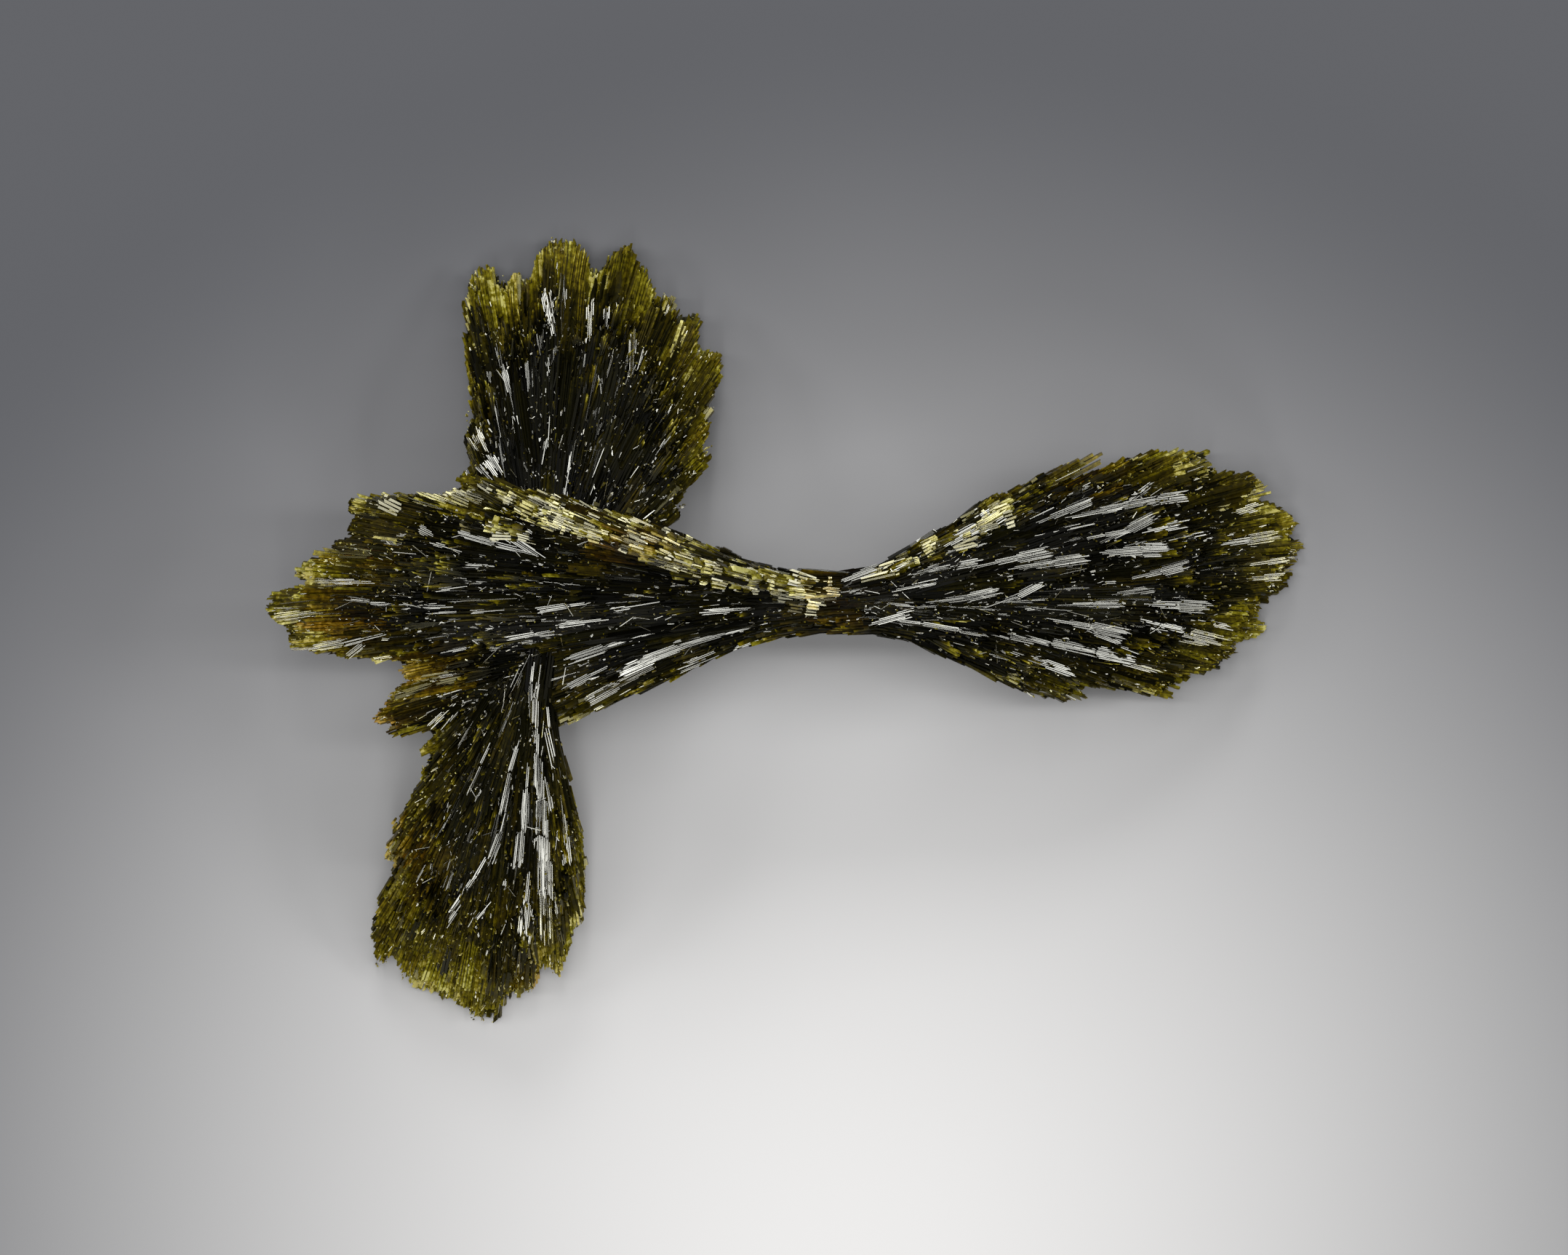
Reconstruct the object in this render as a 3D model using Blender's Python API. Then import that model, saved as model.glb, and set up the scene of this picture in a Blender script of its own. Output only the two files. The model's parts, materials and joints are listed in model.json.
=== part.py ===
"""Epidote specimen: two bow ties of bladed crystals grown through one another, lying on its back.

Each bow tie is a sheaf that is narrow at its waist and spreads into a fan at both ends. The first lies
along X. The second runs along Y, passes through the left fan of the first, and comes out behind it above and
before it below. +Z points at the viewer, and the lowest crystal faces lie flat on the plane z = 0.
"""

import math
import random

import bmesh
import bpy
import numpy as np
from mathutils import Matrix

MM = 0.001

# Driving dimensions, in millimetres
LEVEL_WAIST_Z = 11.0
CROSS_WAIST_Z = 12.0
WAIST_HALF_THICKNESS = 1.9
FLARE_PER_MM = 0.058
EDGE_THICKNESS_SHARE = 0.30
RIM_THICKNESS_SHARE = 0.26
RIM_TAPER_FROM = 0.76

# How the fans leave the level: each droops by a height over a distance from its waist, and leans to one side
RIGHT_DROOP = 10.3
RIGHT_DROOP_OVER = 30.0
RIGHT_LEAN = 1.6
LEFT_DROOP = 1.4
LEFT_DROOP_OVER = 36.0
LEFT_LEAN = 1.6
CREST_RISE = 4.2
CREST_SHARE = -0.60
CREST_WIDTH = 0.26
UPPER_DROOP = 10.9
UPPER_DROOP_OVER = 26.0
UPPER_LEAN = 0.7
LOWER_DROOP = 11.4
LOWER_DROOP_OVER = 25.0
FOLD_RISE = 1.5
FOLD_SHARE = 0.18
FOLD_WIDTH = 0.30

# A rib is one bundle of parallel crystals: two shoulders, a flat face between them, and a valley on each side
LEVEL_RIBS = 21
CROSS_RIBS = 17
RIB_DEPTH_SHARE = 0.42
SHOULDER_INSET = 0.28
WAIST_ROWS = (0.0, 3.4, 8.2)
FULL_ROWS_REACH = 15.0
LAST_ROWS_BEFORE_LEDGES = (3, 5)
LEDGE_LENGTH = 0.30
LEDGE_HEIGHT = (0.20, 0.75)
TIP_SPREAD = (-0.75, 0.45)
VALLEY_RETREAT = 0.85
VALLEY_FLOOR_SHARE = 0.35
SEED = 41


def smooth(value):
    """0 below 0, 1 above 1, and an even curve between."""
    held = min(max(value, 0.0), 1.0)
    return held * held * (3.0 - 2.0 * held)


class Fan:
    """One end of a bow tie. Crystals leave the waist side by side and part like the branches of a hyperbola.

    A crystal's share runs from +1, at the left of the heading, to -1. Each side is (half width at the waist,
    slope far out, distance before it starts to spread). The outline lists points of the rim from left to
    right, in the plane of the part, and height gives the middle surface's z for a distance and a share.
    """

    def __init__(self, waist, heading, left, right, outline, height):
        self.waist = waist
        self.along = (math.cos(math.radians(heading)), math.sin(math.radians(heading)))
        self.left = left
        self.right = right
        self.height = height
        rim = sorted(self.share_and_distance(x, y) for x, y in outline)
        self.rim_shares = [share for share, _ in rim]
        self.rim_distances = [distance for _, distance in rim]

    def half_width(self, distance, share):
        start, slope, delay = self.left if share >= 0 else self.right
        return math.hypot(start, slope * max(distance - delay, 0.0))

    def share_and_distance(self, x, y):
        dx, dy = x - self.waist[0], y - self.waist[1]
        distance = dx * self.along[0] + dy * self.along[1]
        aside = dy * self.along[0] - dx * self.along[1]
        return aside / self.half_width(distance, aside), distance

    def reach(self, share):
        """How far from the waist a crystal of this share ends."""
        return float(np.interp(share, self.rim_shares, self.rim_distances))

    def place(self, distance, share):
        """The middle surface's point, in millimetres."""
        aside = share * self.half_width(distance, share)
        x = self.waist[0] + distance * self.along[0] - aside * self.along[1]
        y = self.waist[1] + distance * self.along[1] + aside * self.along[0]
        return x, y, self.height(distance, share)

    def half_thickness(self, distance, share):
        part = distance / self.reach(share)
        edge = 1.0 - (1.0 - EDGE_THICKNESS_SHARE) * abs(share) ** 4
        rim = 1.0 - (1.0 - RIM_THICKNESS_SHARE) * smooth((part - RIM_TAPER_FROM) / (1.0 - RIM_TAPER_FROM))
        return (WAIST_HALF_THICKNESS + FLARE_PER_MM * distance) * edge * rim


def right_height(distance, share):
    """Droops evenly, so that the far rim meets the table, and its upper edge stands a little higher."""
    droop = RIGHT_DROOP * (distance / RIGHT_DROOP_OVER) ** 1.35
    return LEVEL_WAIST_Z - droop + RIGHT_LEAN * share * smooth(distance / 20.0)


def left_height(distance, share):
    """Rises to a crest along the upper side, falls steeply beyond it and gently to the lower edge."""
    droop = LEFT_DROOP * (distance / LEFT_DROOP_OVER) ** 1.5
    fading = 1.0 - 0.65 * smooth((distance - 18.0) / 14.0)
    crest = CREST_RISE * math.exp(-(((share - CREST_SHARE) / CREST_WIDTH) ** 2)) * fading
    return LEVEL_WAIST_Z - droop + smooth(distance / 14.0) * (crest - LEFT_LEAN * share)


def upper_height(distance, share):
    """Leans back from its waist, so that it passes behind the crest and its far rim meets the table."""
    droop = UPPER_DROOP * smooth(distance / UPPER_DROOP_OVER) ** 0.75
    return CROSS_WAIST_Z - droop - UPPER_LEAN * share * smooth(distance / 16.0)


def lower_height(distance, share):
    """Comes out before the first bow tie, then droops to the table, with a fold along its right side."""
    fold = FOLD_RISE * math.exp(-(((share - FOLD_SHARE) / FOLD_WIDTH) ** 2)) * smooth(distance / 12.0)
    return CROSS_WAIST_Z + fold - LOWER_DROOP * (distance / LOWER_DROOP_OVER) ** 1.45


RIGHT = Fan(
    waist=(3.8, 1.7),
    heading=4.5,
    left=(2.15, 0.62, 0.6),
    right=(2.15, 0.62, 0.6),
    outline=[
        (15.5, 9.1), (17.5, 9.4), (20.2, 11.8), (22.2, 12.3), (24.1, 11.4), (26.5, 12.6), (29.1, 12.4),
        (29.5, 10.9), (32.6, 10.3), (31.9, 8.9), (33.9, 9.7), (35.1, 8.0), (34.8, 6.9), (36.0, 6.1),
        (36.1, 4.6), (34.9, 2.8), (32.4, 1.4), (33.0, 0.4), (31.5, -1.2), (30.2, -2.6), (27.8, -3.6),
        (25.8, -5.0), (23.6, -4.4), (20.9, -4.6), (19.9, -5.4), (16.3, -4.5), (14.0, -3.6),
    ],
    height=right_height,
)
LEFT = Fan(
    waist=(3.8, 1.7),
    heading=180.0,
    left=(2.15, 0.50, 2.4),
    right=(2.15, 0.46, 2.0),
    outline=[
        (-12.0, -5.4), (-16.2, -6.6), (-19.2, -7.4), (-22.2, -7.8), (-24.6, -7.6), (-26.4, -7.1),
        (-27.4, -7.4), (-28.3, -6.2), (-28.0, -5.4), (-26.6, -4.6), (-26.9, -3.4), (-27.3, -2.2),
        (-27.2, -1.5), (-29.5, -1.7), (-31.2, -2.0), (-33.2, -1.7), (-34.6, -0.7), (-36.1, 1.3),
        (-35.3, 2.3), (-33.7, 2.7), (-33.2, 4.3), (-32.7, 5.1), (-31.3, 5.3), (-30.7, 6.0), (-30.1, 7.0),
        (-30.8, 8.0), (-30.2, 8.9), (-28.5, 9.2), (-26.7, 8.7), (-24.2, 9.2), (-21.5, 10.4), (-19.2, 10.0),
        (-14.7, 8.2), (-9.0, 6.9),
    ],
    height=left_height,
)
UPPER = Fan(
    waist=(-16.8, 0.2),
    heading=82.9,
    left=(1.5, 0.72, 0.0),
    right=(1.5, 0.95, 0.0),
    outline=[
        (-21.4, 10.2), (-22.4, 11.8), (-22.8, 14.3), (-21.9, 15.5), (-21.4, 17.0),
        (-22.0, 19.5), (-22.7, 21.4), (-22.5, 23.7), (-21.0, 25.9), (-19.9, 23.9), (-18.8, 25.4),
        (-18.2, 24.3), (-16.5, 26.4), (-15.1, 27.4), (-13.8, 25.0), (-11.4, 25.7), (-10.4, 26.0),
        (-8.8, 23.3), (-7.9, 23.7), (-7.4, 21.9), (-5.8, 22.0), (-5.9, 20.4), (-4.1, 19.1), (-4.6, 16.5),
        (-4.8, 13.2), (-5.5, 11.3), (-6.9, 9.5),
    ],
    height=upper_height,
)
LOWER = Fan(
    waist=(-16.8, 0.2),
    heading=258.5,
    left=(1.5, 0.50, 2.8),
    right=(1.5, 0.72, 1.2),
    outline=[
        (-14.1, -13.6), (-13.8, -15.0), (-14.0, -17.2), (-13.8, -18.6), (-14.6, -19.9), (-14.3, -21.8),
        (-14.8, -23.2), (-15.8, -24.7), (-16.6, -24.0), (-17.8, -26.2), (-18.9, -25.5), (-20.4, -27.3),
        (-21.4, -26.8), (-22.8, -27.5), (-24.3, -26.5), (-25.8, -26.0), (-27.5, -24.8), (-27.9, -23.4),
        (-29.0, -23.4), (-29.2, -21.9), (-28.8, -20.0), (-28.1, -18.6), (-27.5, -17.0), (-27.9, -15.7),
        (-27.2, -14.2), (-26.5, -12.3), (-25.6, -10.8), (-25.3, -9.4),
    ],
    height=lower_height,
)


class Rib:
    """A bundle's own chances: its width, its ledges' places and heights, and how far its tip reaches."""

    def __init__(self, chance):
        self.width = chance.uniform(0.7, 1.3)
        self.ledges = (chance.uniform(0.08, 0.42), chance.uniform(0.56, 0.84))
        self.steps = {side: [chance.uniform(*LEDGE_HEIGHT) for _ in range(2)] for side in (1, -1)}
        self.tip = chance.uniform(*TIP_SPREAD)
        self.slant = chance.uniform(-0.45, 0.45)

    def rise(self, row, side):
        """How far the bundle stands proud: by both ledges near the waist, then by one, and last by none."""
        ledges_ahead = self.steps[side][sum(row > last for last in LAST_ROWS_BEFORE_LEDGES):]
        return sum(ledges_ahead)


def rows_of(ledges, reach):
    """Where a crystal of this reach has vertices, from the waist out. Ledges lie beyond the waist's rows."""
    rows = [row * min(reach / FULL_ROWS_REACH, 1.0) for row in WAIST_ROWS]
    beyond = reach - rows[-1]
    for ledge in ledges:
        start = reach - beyond * (1.0 - ledge)
        rows += [start, start + LEDGE_LENGTH]
    return rows + [reach]


def columns_of(ribs):
    """(share, rib, kind, ledges) for each line of vertices along the crystals.

    kind is -1 or +1 on a shoulder and 0 in a valley, whose ledges lie midway between those of its two ribs.
    """
    total = sum(rib.width for rib in ribs)
    columns = [(1.0, ribs[0], 0, ribs[0].ledges)]
    start = 1.0
    for rib, following in zip(ribs, ribs[1:] + ribs[-1:]):
        width = 2.0 * rib.width / total
        columns.append((start - width * SHOULDER_INSET, rib, 1, rib.ledges))
        columns.append((start - width * (1.0 - SHOULDER_INSET), rib, -1, rib.ledges))
        start -= width
        between = [(a + b) / 2.0 for a, b in zip(rib.ledges, following.ledges)]
        columns.append((max(start, -1.0), rib, 0, between))
    return columns


def crystal_line(fan, share, rib, kind, ledges, side, rib_count):
    """The vertices of one column on the front (side 1) or the back (side -1) of a fan, in millimetres."""
    reach = fan.reach(share)
    ripple = rib.tip + rib.slant * kind if kind else -VALLEY_RETREAT
    line = []
    for row, distance in enumerate(rows_of(ledges, reach)):
        distance += ripple * smooth(2.0 * distance / reach - 1.0)
        x, y, z = fan.place(distance, share)
        thickness = fan.half_thickness(min(distance, reach), share)
        rib_width = 2.0 * fan.half_width(distance, share) / rib_count
        if kind:
            thickness += rib.rise(row, side) * min(1.0, rib_width)
        else:
            thickness = max(thickness - RIB_DEPTH_SHARE * rib_width, VALLEY_FLOOR_SHARE * thickness)
        line.append((x, y, max(z + side * thickness, 0.0)))
    return line


def bow_tie(name, near, far, rib_count, chance):
    """One closed body through both fans: a front and a back sheet of ribs, joined along rims and edges."""
    near_ribs = [Rib(chance) for _ in range(rib_count)]
    far_ribs = [Rib(chance) for _ in range(rib_count)]
    for near_rib, far_rib in zip(near_ribs, far_ribs):
        far_rib.width = near_rib.width
    lines = []
    for near_column, far_column in zip(columns_of(near_ribs), columns_of(far_ribs)):
        share, rib, kind, ledges = near_column
        _, far_rib, _, far_ledges = far_column
        sheets = []
        for side in (1, -1):
            far_line = crystal_line(far, -share, far_rib, -kind, far_ledges, side, rib_count)
            near_line = crystal_line(near, share, rib, kind, ledges, side, rib_count)
            sheets.append(far_line[::-1] + near_line[1:])
        lines.append(sheets)
    points = np.array(lines).transpose(1, 0, 2, 3)
    sheet_count, column_count, row_count, _ = points.shape

    def index(sheet, column, row):
        return (sheet * column_count + column) * row_count + row

    faces = []
    for column in range(column_count - 1):
        for row in range(row_count - 1):
            corners = [(column, row), (column + 1, row), (column + 1, row + 1), (column, row + 1)]
            faces.append([index(0, *corner) for corner in corners])
            faces.append([index(1, *corner) for corner in reversed(corners)])
    edge = [(column, 0) for column in range(column_count)]
    edge += [(column_count - 1, row) for row in range(1, row_count)]
    edge += [(column, row_count - 1) for column in range(column_count - 2, -1, -1)]
    edge += [(0, row) for row in range(row_count - 2, 0, -1)]
    for here, following in zip(edge, edge[1:] + edge[:1]):
        faces.append([index(0, *following), index(0, *here), index(1, *here), index(1, *following)])

    mesh = bpy.data.meshes.new(name)
    mesh.from_pydata((points.reshape(-1, 3) * MM).tolist(), [], faces)
    mesh.validate()
    body = bpy.data.objects.new(name, mesh)
    bpy.context.scene.collection.objects.link(body)
    return body


def outer_body(bm):
    """The faces of the body with the most faces, without the specks of void that two rough skins enclose."""
    unseen = set(bm.faces)
    bodies = []
    while unseen:
        body = {unseen.pop()}
        edge = list(body)
        while edge:
            beside = {face for side in edge.pop().edges for face in side.link_faces} - body
            body |= beside
            edge += beside
        unseen -= body
        bodies.append(body)
    return max(bodies, key=len)


def grow_together(body, other):
    """Join a second solid that grew through the first, and keep one closed body."""
    union = body.modifiers.new("grown together", "BOOLEAN")
    union.operation = "UNION"
    union.solver = "EXACT"
    union.object = other
    bm = bmesh.new()
    bm.from_object(body, bpy.context.evaluated_depsgraph_get())
    body.modifiers.remove(union)
    bpy.data.objects.remove(other)
    keep = outer_body(bm)
    bmesh.ops.delete(bm, geom=[face for face in bm.faces if face not in keep], context="FACES")
    bmesh.ops.triangulate(bm, faces=bm.faces)
    bm.to_mesh(body.data)
    bm.free()


def centre_over_origin(body):
    """Move the mesh so that the middle of its box, seen from above, lies on the origin."""
    corners = np.array([corner[:] for corner in body.bound_box])
    middle = (corners.min(axis=0) + corners.max(axis=0)) / 2.0
    body.data.transform(Matrix.Translation((-middle[0], -middle[1], 0.0)))


def epidote():
    """Pistachio to blackish green silicate with a glassy lustre."""
    material = bpy.data.materials.new("epidote")
    material.use_nodes = True
    shader = material.node_tree.nodes["Principled BSDF"]
    shader.inputs["Base Color"].default_value = (0.030, 0.032, 0.004, 1.0)
    shader.inputs["Roughness"].default_value = 0.28
    shader.inputs["IOR"].default_value = 1.75
    shader.inputs["Metallic"].default_value = 0.0
    return material


for old in list(bpy.data.objects):
    bpy.data.objects.remove(old)

chance = random.Random(SEED)
level = bow_tie("epidote_crystals", RIGHT, LEFT, LEVEL_RIBS, chance)
cross = bow_tie("crossing_bow_tie", UPPER, LOWER, CROSS_RIBS, chance)
grow_together(level, cross)
centre_over_origin(level)
level.data.materials.append(epidote())
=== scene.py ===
"""Looks of the epidote specimen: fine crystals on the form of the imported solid, in a small studio."""

import json
import math

import bmesh
import bpy
import numpy as np
from mathutils import Matrix, Vector, noise
from mathutils.bvhtree import BVHTree

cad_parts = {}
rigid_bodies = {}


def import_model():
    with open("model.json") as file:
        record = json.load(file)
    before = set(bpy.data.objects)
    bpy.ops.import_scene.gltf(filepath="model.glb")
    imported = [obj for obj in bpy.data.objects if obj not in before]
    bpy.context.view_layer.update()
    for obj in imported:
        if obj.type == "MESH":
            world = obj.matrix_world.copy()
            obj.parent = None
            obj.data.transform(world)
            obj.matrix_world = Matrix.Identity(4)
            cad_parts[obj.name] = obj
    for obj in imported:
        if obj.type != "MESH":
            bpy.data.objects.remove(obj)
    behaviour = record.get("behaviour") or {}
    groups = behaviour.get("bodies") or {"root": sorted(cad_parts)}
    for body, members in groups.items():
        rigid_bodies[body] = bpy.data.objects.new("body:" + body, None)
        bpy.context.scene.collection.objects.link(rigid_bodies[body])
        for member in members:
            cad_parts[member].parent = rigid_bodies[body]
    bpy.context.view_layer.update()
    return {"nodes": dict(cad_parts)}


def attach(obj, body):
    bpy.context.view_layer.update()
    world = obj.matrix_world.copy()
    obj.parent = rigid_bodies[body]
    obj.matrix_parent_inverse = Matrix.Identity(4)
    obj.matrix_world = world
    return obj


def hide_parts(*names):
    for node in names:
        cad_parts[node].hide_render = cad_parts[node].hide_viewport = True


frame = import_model()

# The camera
# It looks straight down on the specimen, which lies on its back, from far off with a long lens. The view is
# as wide as the photograph is at the specimen's scale, and its centre is the photograph's centre.
MM = 0.001
CAMERA_HEIGHT = 1.6
VIEW_WIDTH = 107.8 * MM
VIEW_MIDDLE = (-0.34 * MM, 0.29 * MM)
SPECIMEN_MID_HEIGHT = 9.0 * MM

camera = bpy.data.objects.new("camera", bpy.data.cameras.new("camera"))
camera.data.sensor_width = 36.0
camera.data.lens = camera.data.sensor_width * (CAMERA_HEIGHT - SPECIMEN_MID_HEIGHT) / VIEW_WIDTH
camera.data.clip_start = 0.1
camera.location = (*VIEW_MIDDLE, CAMERA_HEIGHT)
bpy.context.scene.collection.objects.link(camera)
bpy.context.scene.camera = camera
bpy.context.scene.view_settings.view_transform = "Standard"


# The studio
# A pale seamless floor with a pool of light painted on it, darker towards the corners. Two long strips cross
# overhead, and softboxes stand on the four sides. They are small and bright, so that a flat crystal face shines
# white or stays dark, and little lies between.
def linear(code):
    """An sRGB hex colour as linear red, green and blue."""
    parts = [int(code[i:i + 2], 16) / 255.0 for i in (1, 3, 5)]
    return [part / 12.92 if part <= 0.04045 else ((part + 0.055) / 1.055) ** 2.4 for part in parts]


def add_node(tree, kind, inputs=None, **settings):
    """Add a node. Inputs are values, or sockets to link from."""
    node = tree.nodes.new(kind)
    for name, value in settings.items():
        setattr(node, name, value)
    for name, value in (inputs or {}).items():
        if isinstance(value, bpy.types.NodeSocket):
            tree.links.new(value, node.inputs[name])
        else:
            node.inputs[name].default_value = value
    return node


LAMP_SAMPLES = [(u, v) for u in np.linspace(-0.46, 0.46, 25) for v in (-0.2, 0.2)]


def softbox(name, place, size, radiance, side=(1.0, 0.0, 0.0)):
    """A rectangular light aimed at the specimen, unseen by the camera, and points spread over it. Its first
    size runs along side."""
    outward = Vector(place).normalized()
    across = (Vector(side) - outward * outward.dot(Vector(side))).normalized()
    upward = outward.cross(across)
    light = bpy.data.lights.new(name, "AREA")
    light.shape = "RECTANGLE"
    light.size, light.size_y = size
    light.energy = radiance * math.pi * size[0] * size[1]
    lamp = bpy.data.objects.new(name, light)
    lamp.matrix_world = Matrix.Translation(place) @ Matrix((across, upward, outward)).transposed().to_4x4()
    lamp.visible_camera = False
    bpy.context.scene.collection.objects.link(lamp)
    return [Vector(place) + across * (u * size[0]) + upward * (v * size[1]) for u, v in LAMP_SAMPLES]


light_points = np.array(
    softbox("strip_along_x", (0.0, 0.10, 1.1), (1.7, 0.10), 14.0)
    + softbox("strip_along_y", (-0.08, 0.0, 1.2), (1.7, 0.10), 12.0, side=(0.0, 1.0, 0.0))
    + softbox("far_softbox", (-0.15, 1.5, 1.0), (0.50, 0.40), 14.0)
    + softbox("right_softbox", (1.25, 0.10, 0.95), (0.35, 0.50), 11.0)
    + softbox("left_softbox", (-1.25, 0.15, 0.90), (0.30, 0.40), 10.0)
    + softbox("near_softbox", (-0.10, -1.35, 0.85), (0.40, 0.35), 11.0)
)

WORLD_STRENGTH = 0.25
FLOOR_HALF = 3.0
FLOOR_HEIGHT = -0.2 * MM
PAINTED_POOL_MIDDLE = (0.004, -0.045, 0.0)
PAINTED_POOL_RADIUS = 0.088

world = bpy.data.worlds.new("studio")
world.use_nodes = True
background = world.node_tree.nodes["Background"]
background.inputs["Color"].default_value = (*linear("#5a5c60"), 1.0)
background.inputs["Strength"].default_value = WORLD_STRENGTH
bpy.context.scene.world = world

floor_mesh = bpy.data.meshes.new("floor")
corners = [(x * FLOOR_HALF, y * FLOOR_HALF, FLOOR_HEIGHT) for x, y in ((-1, -1), (1, -1), (1, 1), (-1, 1))]
floor_mesh.from_pydata(corners, [], [range(4)])
floor = bpy.data.objects.new("floor", floor_mesh)
floor_paint = bpy.data.materials.new("matt pale grey paper")
floor_paint.use_nodes = True
floor_place = add_node(floor_paint.node_tree, "ShaderNodeTexCoord")
# The floor's colour is a painted pool of light: pale in the middle and darker towards the corners.
from_painted_pool = add_node(floor_paint.node_tree, "ShaderNodeVectorMath", {
    0: floor_place.outputs["Object"], 1: PAINTED_POOL_MIDDLE,
}, operation="DISTANCE")
painted_falloff = add_node(floor_paint.node_tree, "ShaderNodeMapRange", {
    "Value": from_painted_pool.outputs["Value"], "From Min": 0.0, "From Max": PAINTED_POOL_RADIUS,
}, interpolation_type="SMOOTHSTEP")
painted_pool_colour = add_node(floor_paint.node_tree, "ShaderNodeMix", {"Factor": painted_falloff.outputs["Result"]},
                        data_type="RGBA")
painted_pool_colour.inputs[6].default_value = (*linear("#d3d2d1"), 1.0)
painted_pool_colour.inputs[7].default_value = (*linear("#505155"), 1.0)
floor_shader = floor_paint.node_tree.nodes["Principled BSDF"]
floor_paint.node_tree.links.new(painted_pool_colour.outputs[2], floor_shader.inputs["Base Color"])
floor_shader.inputs["Roughness"].default_value = 0.9
floor_mesh.materials.append(floor_paint)
bpy.context.scene.collection.objects.link(floor)


# The four fans that the crystals follow
# Each end of a bow tie is a fan of crystals that leave the waist side by side and part like the branches of
# a hyperbola. A crystal is known by its share, +1 at the left edge of its fan to -1 at the right, and its
# distance from the waist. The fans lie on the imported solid, in millimetres, and how far each reaches is
# read from it.
WAIST_HALF_THICKNESS = 1.9
FLARE_PER_MM = 0.058
EDGE_THICKNESS_SHARE = 0.30
RIM_THICKNESS_SHARE = 0.26
RIM_TAPER_FROM = 0.76
LEVEL_WAIST_Z = 11.0
CROSS_WAIST_Z = 12.0
PIXELS_PER_MM = 20.0
PHOTO_ORIGIN = np.array([1084.74, 868.3])
SHARE_STEPS = 160
FIRST_DISTANCE = 6.0
REACH_STEP = 0.15
REACH_LIMIT = 45.0
RIDGES = [(0.30, 2.0, 0.8), (0.12, 4.6, 0.6), (0.05, 9.0, 0.9)]
RIM_GLOW, TIP_GLOW = 0.40, 0.2
TIP_GLOW_BAND = 2.0
EDGE_DISTANCE_FACTOR = 3.0
NECK_SINK, NECK_LENGTH = 0.9, 8.0

chance = np.random.default_rng(7)
packed = frame["nodes"]["epidote_crystals"].data
packed_points = np.array([vertex.co for vertex in packed.vertices]) / MM
packed_tree = BVHTree.FromPolygons(packed_points.tolist(), [face.vertices[:] for face in packed.polygons])


def smooth(value):
    """0 below 0, 1 above 1, and an even curve between."""
    held = np.clip(value, 0.0, 1.0)
    return held * held * (3.0 - 2.0 * held)


def inside_packed(point):
    """True if the next face above the point has the solid below it."""
    _, normal, _, _ = packed_tree.ray_cast(Vector(point), Vector((0.0, 0.0, 1.0)))
    return normal is not None and normal.z > 0.0


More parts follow.
